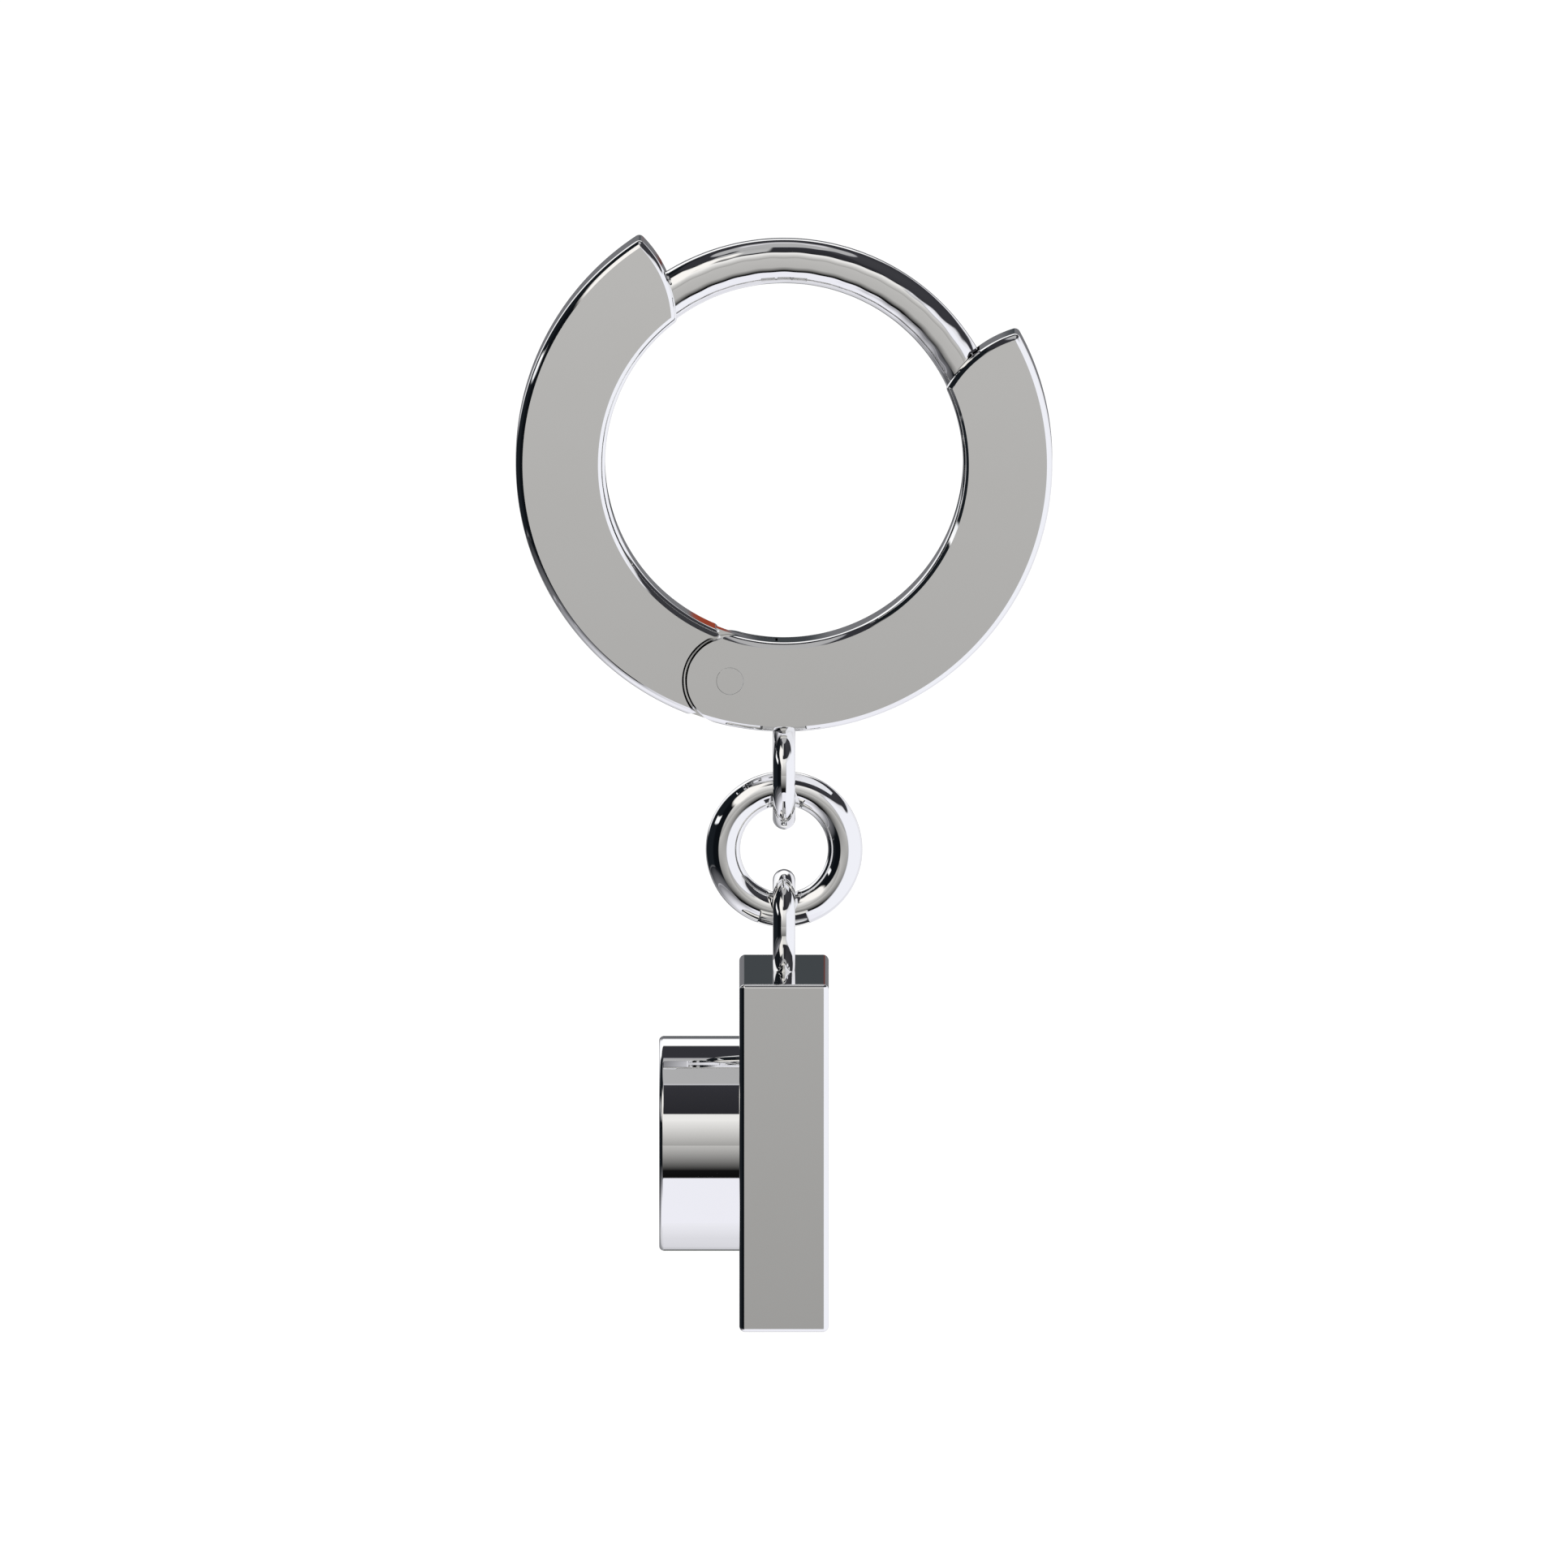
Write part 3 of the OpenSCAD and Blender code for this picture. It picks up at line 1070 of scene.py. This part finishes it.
@dataclass
class BackHalf:
    """The back half of the hoop, with its slotted nose, catch groove and hinge pin; the soldered eyelet on it
    is drawn with the links.

    Attributes:
        plan: The hoop's shared sizes.
        edges: Rounds along the outer wall, the end face, the inner wall and the hinge seam.
        past: How far the slot's cutter runs past the metal.
        past_turn: Angle by which the groove's cutter runs past the half's end.
        cutter_share: Inner radius of that cutter, as a share of the hoop's inside radius.
        rod_edge: Rounding of the hinge pin's two rims.
        rod_steps: Steps round the hinge pin.
    """

    plan: HoopPlan
    edges: tuple[EdgeRound, ...] = (
        EdgeRound(0.12, 0.7, (33.0, 50.0)),
        EdgeRound(0.13, 0.7, (38.0, 48.0)),
        EdgeRound(0.135, 0.68, (38.0, 48.0)),
        EdgeRound(0.04, 0.8, (33.0, 50.0)),
    )
    past: float = 0.6
    past_turn: float = radians(8)
    cutter_share: float = 0.25
    rod_edge: float = 0.006
    rod_steps: int = 64

    def build(self) -> None:
        """Makes the half and its pin and ties them to the back body."""
        plan = self.plan
        sides = plan.half_sides(HingeEnd.NOSE, self.edges)
        half = plan.half_solid("back_arc", sides, mirrored=False)
        bore = plan.bore("cheek_bore", plan.pin_r + plan.pin_seat_gap)
        tools = (("DIFFERENCE", self.slot()), ("DIFFERENCE", bore), ("DIFFERENCE", self.groove()))
        combine(half, tools)
        settled(dressed(half, plan.silver()), Body.BACK, Slot.POLISHED, "back_half")
        settled(dressed(self.rod(), PIN_SILVER), Body.BACK, Slot.PIN, "hinge_pin")

    def slot(self) -> bpy.types.Object:
        """Makes the cutter of the slot that takes the tongue.

        Returns:
            The cutter.
        """
        plan = self.plan
        radius = plan.slot_r
        reach = plan.tongue_reach + plan.slot_gap
        top = plan.wall / 2 + self.past
        outline = Arc((0.0, 0.0), radius, pi, 2 * pi).stepped(plan.round_step)
        outline += [(radius, 0.0), (reach, 0.0), (reach, top), (-radius, top)]
        return prism("tongue_slot", plan.at_pin(outline), plan.tongue_w / 2 + plan.slot_gap)

    def groove(self) -> bpy.types.Object:
        """Makes the cutter of the groove that catches the post's tip.

        Returns:
            The cutter.
        """
        plan = self.plan
        start, end = plan.catch_direction, plan.hinge + plan.half_outer + self.past_turn
        outer = Arc((0.0, 0.0), plan.post_r + plan.post_side / 2 + plan.catch_gap, start, end)
        inner = Arc((0.0, 0.0), plan.bore_r * self.cutter_share, start, end)
        outline = outer.stepped(plan.wall_step) + [outer.point(end), inner.point(end), inner.point(start)]
        placed = [(x, z + plan.centre_z) for x, z in outline]
        return prism("catch_groove", placed, plan.post_side / 2 + plan.catch_gap)

    def rod(self) -> bpy.types.Object:
        """Turns the hinge pin, with its two rims a little rounded.

        Returns:
            The solid.
        """
        plan = self.plan
        profile = rim_profile(plan.pin_r, -plan.half_w, plan.half_w, self.rod_edge, self.rod_edge)
        x, z = plan.pin_at
        place = Matrix.Translation((x, 0.0, z + plan.centre_z)) @ Matrix.Rotation(-pi / 2, 4, "X")
        return turned("hinge_rod", profile, place, self.rod_steps)


def rim_profile(radius: float, low: float, high: float, low_edge: float, high_edge: float) -> list[Point]:
    """Draws a turned disc's profile from its low face to its high face, with rounded rims.

    Args:
        radius: The disc's radius.
        low: Height of its low face.
        high: Height of its high face.
        low_edge: Rounding of the low rim.
        high_edge: Rounding of the high rim.

    Returns:
        Points of radius and height.
    """
    steps = 10
    turns = [pi / 2 * i / steps for i in range(steps + 1)]
    lower = [(radius - low_edge * (1 - sin(t)), low + low_edge * (1 - cos(t))) for t in turns]
    upper = [(radius - high_edge * (1 - cos(t)), high - high_edge * (1 - sin(t))) for t in turns]
    return lower + upper


def turned(name: str, profile: Sequence[Point], place: Matrix, steps: int) -> bpy.types.Object:
    """Turns a profile about the Z axis and takes it to its place.

    Args:
        name: The object's name.
        profile: Points of radius and height, from one cap to the other.
        place: Where the turned solid goes.
        steps: Number of steps round the axis.

    Returns:
        The solid.
    """
    rings = []
    for radius, height in profile:
        angles = [2 * pi * i / steps for i in range(steps)]
        rings.append([place @ Vector((radius * cos(a), radius * sin(a), height)) for a in angles])
    return ring_stack(name, rings)


def swept(graph: Graph, path: Socket, profile: Socket) -> Socket:
    """Sweeps a profile along a path with closed ends and returns the mesh."""
    sweep_inputs = {"Curve": path, "Profile Curve": profile, "Fill Caps": True}
    return graph.node("GeometryNodeCurveToMesh", sweep_inputs).outputs["Mesh"]


def tree_ending(graph: Graph, mesh: Socket, given: bpy.types.NodeOutputs, turn: Value) -> None:
    """Ends a tree: puts the mesh in place, merges doubles, realizes instances and sets the finish.

    Args:
        graph: The tree's graph.
        mesh: The mesh made so far.
        given: The tree's inputs.
        turn: Rotation that takes the mesh into its plane.
    """
    place_inputs = {"Geometry": mesh, "Rotation": turn, "Translation": given["Place"]}
    placed = graph.node("GeometryNodeTransform", place_inputs).outputs["Geometry"]
    merged = graph.node("GeometryNodeMergeByDistance", {"Geometry": placed, "Distance": MERGE_DISTANCE})
    real = graph.node("GeometryNodeRealizeInstances", {"Geometry": merged.outputs["Geometry"]})
    finish_inputs = {"Geometry": real.outputs["Geometry"], "Material": given["Finish"]}
    finished = graph.node("GeometryNodeSetMaterial", finish_inputs)
    graph.node("NodeGroupOutput", {"Geometry": finished.outputs["Geometry"]})


def ring_tree() -> bpy.types.NodeTree:
    """Builds the Geometry Nodes tree that draws a closed ring of round wire.

    Returns:
        The tree.
    """
    inputs = {
        "Mean Radius": "NodeSocketFloat", "Wire": "NodeSocketFloat", "Path Steps": "NodeSocketInt",
        "Wire Steps": "NodeSocketInt", "Turn": "NodeSocketRotation", "Place": "NodeSocketVector",
        "Finish": "NodeSocketMaterial",
    }
    graph = Graph(new_group("GeometryNodeTree", "drawn_ring", inputs, {"Geometry": "NodeSocketGeometry"}))
    given = graph.node("NodeGroupInput").outputs
    path_inputs = {"Resolution": given["Path Steps"], "Radius": given["Mean Radius"]}
    path = graph.node("GeometryNodeCurvePrimitiveCircle", path_inputs).outputs["Curve"]
    wire_r = graph.math("MULTIPLY", given["Wire"], 0.5)
    profile_inputs = {"Resolution": given["Wire Steps"], "Radius": wire_r}
    profile = graph.node("GeometryNodeCurvePrimitiveCircle", profile_inputs).outputs["Curve"]
    tree_ending(graph, swept(graph, path, profile), given, given["Turn"])
    return graph.tree


def pinched(graph: Graph, mesh: Socket, given: bpy.types.NodeOutputs) -> Socket:
    """Pinches a bar's rounded edges in faint ripples along it, while its flats stay flat.

    Args:
        graph: The tree's graph.
        mesh: The bar, bent about the origin in the XY plane.
        given: The tree's inputs.

    Returns:
        The rippled mesh.
    """
    place = graph.node("GeometryNodeInputPosition").outputs["Position"]
    split = graph.node("ShaderNodeSeparateXYZ", {"Vector": place}).outputs
    level = graph.vector("MULTIPLY", place, (1.0, 1.0, 0.0))
    outward = graph.vector("NORMALIZE", level)
    reach = graph.length(level)
    angle = graph.math("ARCTAN2", split["Y"], split["X"])
    wave = graph.math("SINE", graph.math("MULTIPLY", angle, given["Ripples"]))
    depth = graph.math("MULTIPLY", wave, given["Ripple Depth"])
    half = graph.math("MULTIPLY", given["Side"], 0.5)
    flat = graph.math("SUBTRACT", half, given["Rounding"])
    moved = []
    for off in (graph.math("SUBTRACT", reach, given["Path Radius"]), split["Z"]):
        size = graph.math("ABSOLUTE", off)
        risen = graph.math("DIVIDE", size, flat)
        fallen = graph.math("DIVIDE", graph.math("SUBTRACT", half, size), given["Rounding"])
        share = graph.math("MULTIPLY", graph.math("MINIMUM", risen, fallen), graph.math("SIGN", off))
        moved.append(graph.math("MULTIPLY", share, depth))
    upward = graph.node("ShaderNodeCombineXYZ", {"Z": moved[1]}).outputs[0]
    offset = graph.vector("ADD", graph.scaled(outward, moved[0]), upward)
    return graph.node("GeometryNodeSetPosition", {"Geometry": mesh, "Offset": offset}).outputs["Geometry"]


def bar_tree() -> bpy.types.NodeTree:
    """Builds the Geometry Nodes tree that bends a rounded square bar along an arc of the hoop.

    Returns:
        The tree.
    """
    inputs = {
        "Path Radius": "NodeSocketFloat", "From Angle": "NodeSocketFloat", "Sweep": "NodeSocketFloat",
        "Path Steps": "NodeSocketInt", "Side": "NodeSocketFloat", "Rounding": "NodeSocketFloat",
        "Corner Steps": "NodeSocketInt", "Ripples": "NodeSocketFloat", "Ripple Depth": "NodeSocketFloat",
        "Place": "NodeSocketVector", "Finish": "NodeSocketMaterial",
    }
    graph = Graph(new_group("GeometryNodeTree", "bent_bar", inputs, {"Geometry": "NodeSocketGeometry"}))
    given = graph.node("NodeGroupInput").outputs
    path_inputs = {
        "Resolution": given["Path Steps"], "Radius": given["Path Radius"],
        "Start Angle": given["From Angle"], "Sweep Angle": given["Sweep"],
    }
    path = graph.node("GeometryNodeCurveArc", path_inputs).outputs["Curve"]
    sides = {"Width": given["Side"], "Height": given["Side"]}
    square = graph.node("GeometryNodeCurvePrimitiveQuadrilateral", sides).outputs["Curve"]
    round_inputs = {"Curve": square, "Count": given["Corner Steps"], "Radius": given["Rounding"]}
    profile = graph.node("GeometryNodeFilletCurve", round_inputs, mode="POLY").outputs["Curve"]
    mesh = pinched(graph, swept(graph, path, profile), given)
    tree_ending(graph, mesh, given, RingPlane.ALONG_HOOP.value)
    return graph.tree


def grown(
    name: str, tree: bpy.types.NodeTree, sizes: dict[str, Value], finish: SilverFinish
) -> bpy.types.Object:
    """Runs a Geometry Nodes tree and keeps its result as a plain mesh.

    Args:
        name: The piece's name.
        tree: The tree.
        sizes: Values of its inputs by name.
        finish: The finish that the tree sets.

    Returns:
        The piece, in millimetres.
    """
    piece = bpy.data.objects.new(name, bpy.data.meshes.new(name))
    modifier = piece.modifiers.new("grown", "NODES")
    modifier.node_group = tree
    values = {**sizes, "Finish": finish.material()}
    for item in tree.interface.items_tree:
        if item.in_out == "INPUT" and item.name in values:
            modifier[item.identifier] = values[item.name]
    bpy.context.scene.collection.objects.link(piece)
    return baked(piece)


@dataclass
class WireRing:
    """A closed ring of round wire.

    Attributes:
        name: The piece's name.
        centre: Its centre.
        mean_r: Radius of the wire's middle line.
        wire: Thickness of the wire.
        plane: The plane that it lies in.
        path_steps: Steps round the ring.
        wire_steps: Steps round the wire.
    """

    name: str
    centre: Vector
    mean_r: float
    wire: float
    plane: RingPlane
    path_steps: int = 160
    wire_steps: int = 48

    def build(self, body: Body, node: str) -> None:
        """Draws the ring and ties it to its body.

        Args:
            body: The body that it moves with.
            node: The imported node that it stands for.
        """
        tree = bpy.data.node_groups.get("drawn_ring") or ring_tree()
        sizes = {
            "Mean Radius": self.mean_r, "Wire": self.wire, "Path Steps": self.path_steps,
            "Wire Steps": self.wire_steps, "Turn": self.plane.value, "Place": tuple(self.centre),
        }
        ring = grown(self.name, tree, sizes, WIRE_SILVER)
        settled(dressed(ring, WIRE_SILVER), body, Slot.POLISHED, node)


@dataclass
class Links:
    """The two soldered eyelets and the jump ring between them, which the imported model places.

    Attributes:
        eyelet_r: Outside radius of an eyelet.
        eyelet_wire: Thickness of an eyelet's wire.
    """

    eyelet_r: float = 1.25
    eyelet_wire: float = 0.5

    def build(self) -> None:
        """Draws the three rings."""
        low, high = box_mm("jump_ring")
        wire = high.y - low.y
        outer_r = (high.x - low.x) / 2
        ring = WireRing("link_ring", (low + high) / 2, outer_r - wire / 2, wire, RingPlane.ALONG_HOOP)
        ring.build(Body.RING, "jump_ring")
        upper_z = box_mm("back_half")[0].z + self.eyelet_r
        lower_z = box_mm("plaque")[1].z - self.eyelet_r
        self.eyelet("upper_eyelet", upper_z).build(Body.BACK, "back_half")
        self.eyelet("lower_eyelet", lower_z).build(Body.DROP, "plaque")

    def eyelet(self, name: str, height: float) -> WireRing:
        """Gives one eyelet, with its centre at a height."""
        centre, mean_r = Vector((0.0, 0.0, height)), self.eyelet_r - self.eyelet_wire / 2
        return WireRing(name, centre, mean_r, self.eyelet_wire, RingPlane.ACROSS_HOOP)


@dataclass
class Plaque:
    """The square plaque and its round boss.

    Attributes:
        thickness: The plaque's thickness.
        upright: Round along the upright edges of its narrow sides.
        level: Round along the level edges of its narrow sides.
        corner: Rounding of the edges that run from one narrow side to the other.
        corner_steps: Steps round such a corner.
        boss_r: Radius of the boss.
        boss_edge: Rounding of the boss's rim.
        boss_root: How far the boss runs into the plaque.
        boss_root_edge: Rounding of the rim that is hidden there.
        boss_steps: Steps round the boss.
    """

    thickness: float = 2.0
    upright: EdgeRound = EdgeRound(0.111)
    level: EdgeRound = EdgeRound(0.073, wide=(12.0, 60.0))
    corner: float = 0.128
    corner_steps: int = 12
    boss_r: float = 2.4
    boss_edge: float = 0.1
    boss_root: float = 0.3
    boss_root_edge: float = 0.01
    boss_steps: int = 180

    def build(self) -> None:
        """Makes the slab and the boss and ties them to the drop."""
        low, high = box_mm("plaque")
        side = high.y - low.y
        centre = Vector((0.0, 0.0, low.z + side / 2))
        settled(dressed(self.slab(side, centre), PLAQUE_SILVER), Body.DROP, Slot.POLISHED, "plaque")
        settled(dressed(self.boss(low.x, centre), PLAQUE_SILVER), Body.DROP, Slot.POLISHED, "plaque")

    def slab(self, side: float, centre: Vector) -> bpy.types.Object:
        """Makes the square slab, a stack of rounded outlines from one narrow side to the other.

        Args:
            side: Side of the square.
            centre: Its centre.

        Returns:
            The solid.
        """
        rings = []
        for depth, along in face_rows((self.upright, self.level), side / 2):
            upright, level = self.upright.inset(depth), self.level.inset(depth)
            rounding = self.corner - max(upright, level)
            reach_x = self.thickness / 2 - upright - rounding
            reach_z = side / 2 - level - rounding
            ring = []
            for index, (across, up) in enumerate(((1, 1), (-1, 1), (-1, -1), (1, -1))):
                start, end = pi / 2 * index, pi / 2 * (index + 1)
                corner = Arc((across * reach_x, up * reach_z), rounding, start, end)
                points = corner.points(self.corner_steps) + [corner.point(end)]
                ring += [centre + Vector((x, along, z)) for x, z in points]
            rings.append(ring)
        return ring_stack("plaque_slab", rings)

    def boss(self, front: float, centre: Vector) -> bpy.types.Object:
        """Turns the round boss.

        Args:
            front: Where its front face lies along X.
            centre: The plaque's centre.

        Returns:
            The solid.
        """
        root = -self.thickness / 2 + self.boss_root
        profile = rim_profile(self.boss_r, -root, -front, self.boss_root_edge, self.boss_edge)
        place = Matrix.Translation(centre) @ Matrix.Rotation(-pi / 2, 4, "Y")
        return turned("plaque_boss", profile, place, self.boss_steps)


@dataclass(frozen=True)
class StudioCard:
    """One light or card round the earring, as seen from it.

    Angles are in degrees, and azimuth 0 is the camera's.

    Attributes:
        name: What it is.
        centre: Azimuth of its middle, positive to the right.
        half_width: Half its width.
        low: Elevation of its lower edge.
        high: Elevation of its upper edge.
        side_softness: Width over which its sides fade.
        edge_softness: Height over which its lower and upper edges fade.
        low_shade: Display colour that silver shows at its lower edge.
        high_shade: The same at its upper edge.
        lean: How much its lower edge rises for each degree to the right.
    """

    PLACE = ("Centre", "Half Width", "Low", "High", "Side Softness", "Edge Softness", "Lean")

    name: str
    centre: float
    half_width: float
    low: float
    high: float
    side_softness: float
    edge_softness: float
    low_shade: Colour
    high_shade: Colour
    lean: float = 0.0

    def place(self) -> dict[str, float]:
        """The card's place by the names of the group's inputs."""
        values = (self.centre, self.half_width, self.low, self.high, self.side_softness, self.edge_softness)
        return dict(zip(self.PLACE, (*values, self.lean)))


# Display colours from 0 to 255. One past 255 is brighter than white.
TABLE_SHADE: Colour = (236, 236, 244)
CEILING: Colour = (172, 172, 173)
WARM_WHITE: Colour = (250, 247, 243)
COOL_WHITE: Colour = (239, 240, 247)
LAMP_WHITE: Colour = (262, 262, 262)
PALE_STRIP: Colour = (222, 220, 226)
DARK: Colour = (50, 50, 55)
BLACK: Colour = (13, 16, 20)
FLAG: Colour = (12, 12, 12)
DARK_RED: Colour = (94, 57, 53)
RED: Colour = (142, 62, 44)

# Each card lies over those before it. The values are in the order of the fields.
CARDS = (
    StudioCard("belt all round", 0, 190, -24, 68, 1, 6, (150, 150, 153), (96, 96, 98)),
    StudioCard("ceiling", 0, 190, 70, 100, 1, 3, CEILING, CEILING),
    StudioCard("strip high at the back", 180, 70, 76, 80.5, 10, 2, PALE_STRIP, PALE_STRIP),
    StudioCard("dark wall, high right", 90, 72, 26, 70, 20, 4, DARK, (62, 62, 66)),
    StudioCard("dark wall, high left", -95, 70, 55, 70, 30, 4, DARK, DARK),
    StudioCard("dark wall, high back", 180, 40, 44, 70, 20, 3, DARK, DARK),
    StudioCard("lamp at the back", -178, 20, 22, 42, 8, 3, LAMP_WHITE, LAMP_WHITE),
    StudioCard("near table, back left", -170, 50, -90, -40, 30, 1, (235, 235, 242), (203, 203, 208)),
    StudioCard("far table, back left", -170, 50, -40, -20, 30, 1, (203, 203, 208), (104, 106, 108)),
    StudioCard("near table, left", -78, 54, -54, -32, 16, 4, (233, 233, 240), (112, 112, 116)),
    StudioCard("far table, left", -78, 54, -32, -18, 16, 1, (112, 112, 116), (34, 37, 41)),
    StudioCard("dark wall, left", -82, 62, -18, 58, 10, 4, (26, 30, 35), (20, 24, 28)),
    StudioCard("black flag, front left", -48, 22, -20, 40, 16, 6, BLACK, BLACK),
    StudioCard("soft box, back left", -158, 23, 3, 43, 8, 5, (235, 236, 240), LAMP_WHITE),
    StudioCard("soft strip, left", -83, 17, 16, 22.5, 4, 2, (236, 238, 242), LAMP_WHITE),
    StudioCard("black flag round the camera", 0, 30, -34.8, 69.5, 6, 1.5, FLAG, DARK),
    StudioCard("grey board over the camera", -20, 15, 42, 70, 6, 6, (182, 182, 183), (170, 170, 170)),
    StudioCard("camera board, lower part", -4, 25.5, -26.6, 0.6, 5, 0.6, FLAG, (189, 188, 186)),
    StudioCard("camera board, upper part", -4, 25.5, 0.0, 27.7, 5, 0.6, (160, 159, 157), (233, 232, 230)),
    StudioCard("camera board, rim", -6, 34, 26.5, 34.2, 14, 1.2, (234, 233, 231), (232, 231, 229)),
    StudioCard("warm soft box, front left", -38, 22, 24.5, 55, 10, 5, WARM_WHITE, WARM_WHITE, lean=-0.55),
    StudioCard("soft box, front right", 55, 27, 20, 33, 10, 4, (242, 243, 249), (220, 220, 225)),
    StudioCard("white wall, back right", 150, 30, -60, 23, 14, 4, (222, 222, 229), (232, 232, 237)),
    StudioCard("white wall, right", 76, 53, -60, 26, 9, 2.5, COOL_WHITE, COOL_WHITE),
    StudioCard("grey board at the back", 180, 14, -9, 20, 8, 4, (117, 117, 120), (105, 106, 109)),
    StudioCard("dark pole at the back", 180, 1.7, -25, 9, 1.4, 3, (66, 70, 66), (62, 66, 70)),
    StudioCard("dark red tag at the back", 177.45, 1.15, 1.1, 3.8, 0.5, 0.3, DARK_RED, DARK_RED),
    StudioCard("red tag at the back", 176.8, 0.6, 3.5, 5.4, 0.5, 0.4, RED, RED),
)


@dataclass
class Studio:
    """Pale floor, soft light all round and the camera at the photograph's angle, in metres.

    Attributes:
        dome_r: Radius of the dome of soft lights.
        dome_steps: Steps round the dome and from its top to its bottom.
        middle_z: Height of the earring's middle, which the dome and the camera aim at.
        floor_z: Height of the floor.
        floor_r: Radius of the floor.
        floor_steps: Steps round the floor.
        floor_grey: Linear shade of the floor.
        floor_roughness: Roughness of the floor.
        frame_width: Width that the camera takes in.
        pitch: Angle at which the camera looks down.
        camera_distance: Distance of the camera.
        clip: Least and greatest distance at which the camera sees.
        daylight: Strength of the white surroundings.
    """

    dome_r: float = 0.18
    dome_steps: tuple[int, int] = (64, 32)
    middle_z: float = -0.011747
    floor_z: float = -0.16
    floor_r: float = 4.0
    floor_steps: int = 96
    floor_grey: float = 0.95
    floor_roughness: float = 0.9
    frame_width: float = 0.03505
    pitch: float = radians(5)
    camera_distance: float = 0.15
    clip: Point = (0.001, 10.0)
    daylight: float = 1.12

    def build(self) -> None:
        """Sets the floor, the dome, the surroundings and the camera."""
        self.camera()
        self.floor()
        self.dome()
        self.surroundings()

    def camera(self) -> None:
        """Makes the camera, which sees in parallel."""
        data = bpy.data.cameras.new("camera")
        data.type = "ORTHO"
        data.ortho_scale = self.frame_width
        data.clip_start, data.clip_end = self.clip
        made = bpy.data.objects.new("camera", data)
        away, up = self.camera_distance * cos(self.pitch), self.camera_distance * sin(self.pitch)
        made.location = (0.0, -away, self.middle_z + up)
        made.rotation_euler = (pi / 2 - self.pitch, 0.0, 0.0)
        bpy.context.scene.collection.objects.link(made)
        bpy.context.scene.camera = made

    def floor(self) -> None:
        """Lays the pale floor, which the silver doesn't mirror because the dome holds its reflection."""
        shape = bmesh.new()
        bmesh.ops.create_circle(shape, cap_ends=True, radius=self.floor_r, segments=self.floor_steps)
        bmesh.ops.translate(shape, vec=(0.0, 0.0, self.floor_z), verts=shape.verts)
        made = mesh_object("floor", shape)
        finish = bpy.data.materials.new("pale_floor")
        finish.use_nodes = True
        shader = finish.node_tree.nodes["Principled BSDF"]
        shader.inputs["Base Color"].default_value = (*(self.floor_grey,) * 3, 1.0)
        shader.inputs["Roughness"].default_value = self.floor_roughness
        shader.inputs["Specular IOR Level"].default_value = 0.0
        made.data.materials.append(finish)
        made.visible_glossy = False

    def dome(self) -> None:
        """Hangs the dome of soft lights and cards that the silver mirrors."""
        shape = bmesh.new()
        around, down = self.dome_steps
        bmesh.ops.create_uvsphere(shape, u_segments=around, v_segments=down, radius=self.dome_r)
        made = mesh_object("light_tent", shape)
        made.data.shade_smooth()
        made.location = (0.0, 0.0, self.middle_z)
        made.data.materials.append(self.tent_material())
        for ray in ("camera", "diffuse", "shadow", "transmission", "volume_scatter"):
            setattr(made, f"visible_{ray}", False)

    def tent_material(self) -> bpy.types.Material:
        """Builds the dome's glow from the cards, laid one over the other.

        Returns:
            The material.
        """
        finish = bpy.data.materials.new("light_tent")
        finish.use_nodes = True
        finish.cycles.emission_sampling = "NONE"
        graph = Graph(finish.node_tree)
        graph.tree.nodes.clear()
        place = graph.node("ShaderNodeTexCoord").outputs["Object"]
        aim = graph.vector("NORMALIZE", place)
        parts = graph.node("ShaderNodeSeparateXYZ", {"Vector": aim}).outputs
        toward = graph.math("MULTIPLY", parts["Y"], -1.0)
        azimuth = graph.math("DEGREES", graph.math("ARCTAN2", parts["X"], toward))
        elevation = graph.math("DEGREES", graph.math("ARCSINE", parts["Z"]))
        group = soft_card_group()
        seen: Value = self.tint(TABLE_SHADE)
        for card in CARDS:
            inputs = {"Azimuth": azimuth, "Elevation": elevation, "Below": seen, **card.place()}
            inputs |= {"Low Colour": self.tint(card.low_shade), "High Colour": self.tint(card.high_shade)}
            seen = graph.group(group, inputs, card.name)["Colour"]
        glow = graph.node("ShaderNodeEmission", {"Color": seen, "Strength": 1.0})
        graph.node("ShaderNodeOutputMaterial", {"Surface": glow.outputs[0]})
        return finish

    @staticmethod
    def tint(shade: Colour) -> tuple[float, ...]:
        """Turns the display colour that silver shows into the light that it mirrors."""
        light = (linear(channel) / part for channel, part in zip(shade, HOOP_SILVER.silver))
        return (*light, 1.0)

    def surroundings(self) -> None:
        """Makes the white surroundings that light the floor and stand behind the earring."""
        world = bpy.data.worlds.new("surroundings")
        world.use_nodes = True
        background = world.node_tree.nodes["Background"]
        background.inputs["Color"].default_value = (1.0, 1.0, 1.0, 1.0)
        background.inputs["Strength"].default_value = self.daylight
        bpy.context.scene.world = world
        bpy.context.scene.view_settings.view_transform = "Standard"


def main() -> None:
    """Builds the earring and its studio in order."""
    logging.basicConfig(level=logging.INFO, format="%(name)s: %(message)s")
    plan = HoopPlan()
    FrontHalf(plan).build()
    BackHalf(plan).build()
    Links().build()
    Plaque().build()
    Studio().build()


if __name__ == "__main__":
    main()
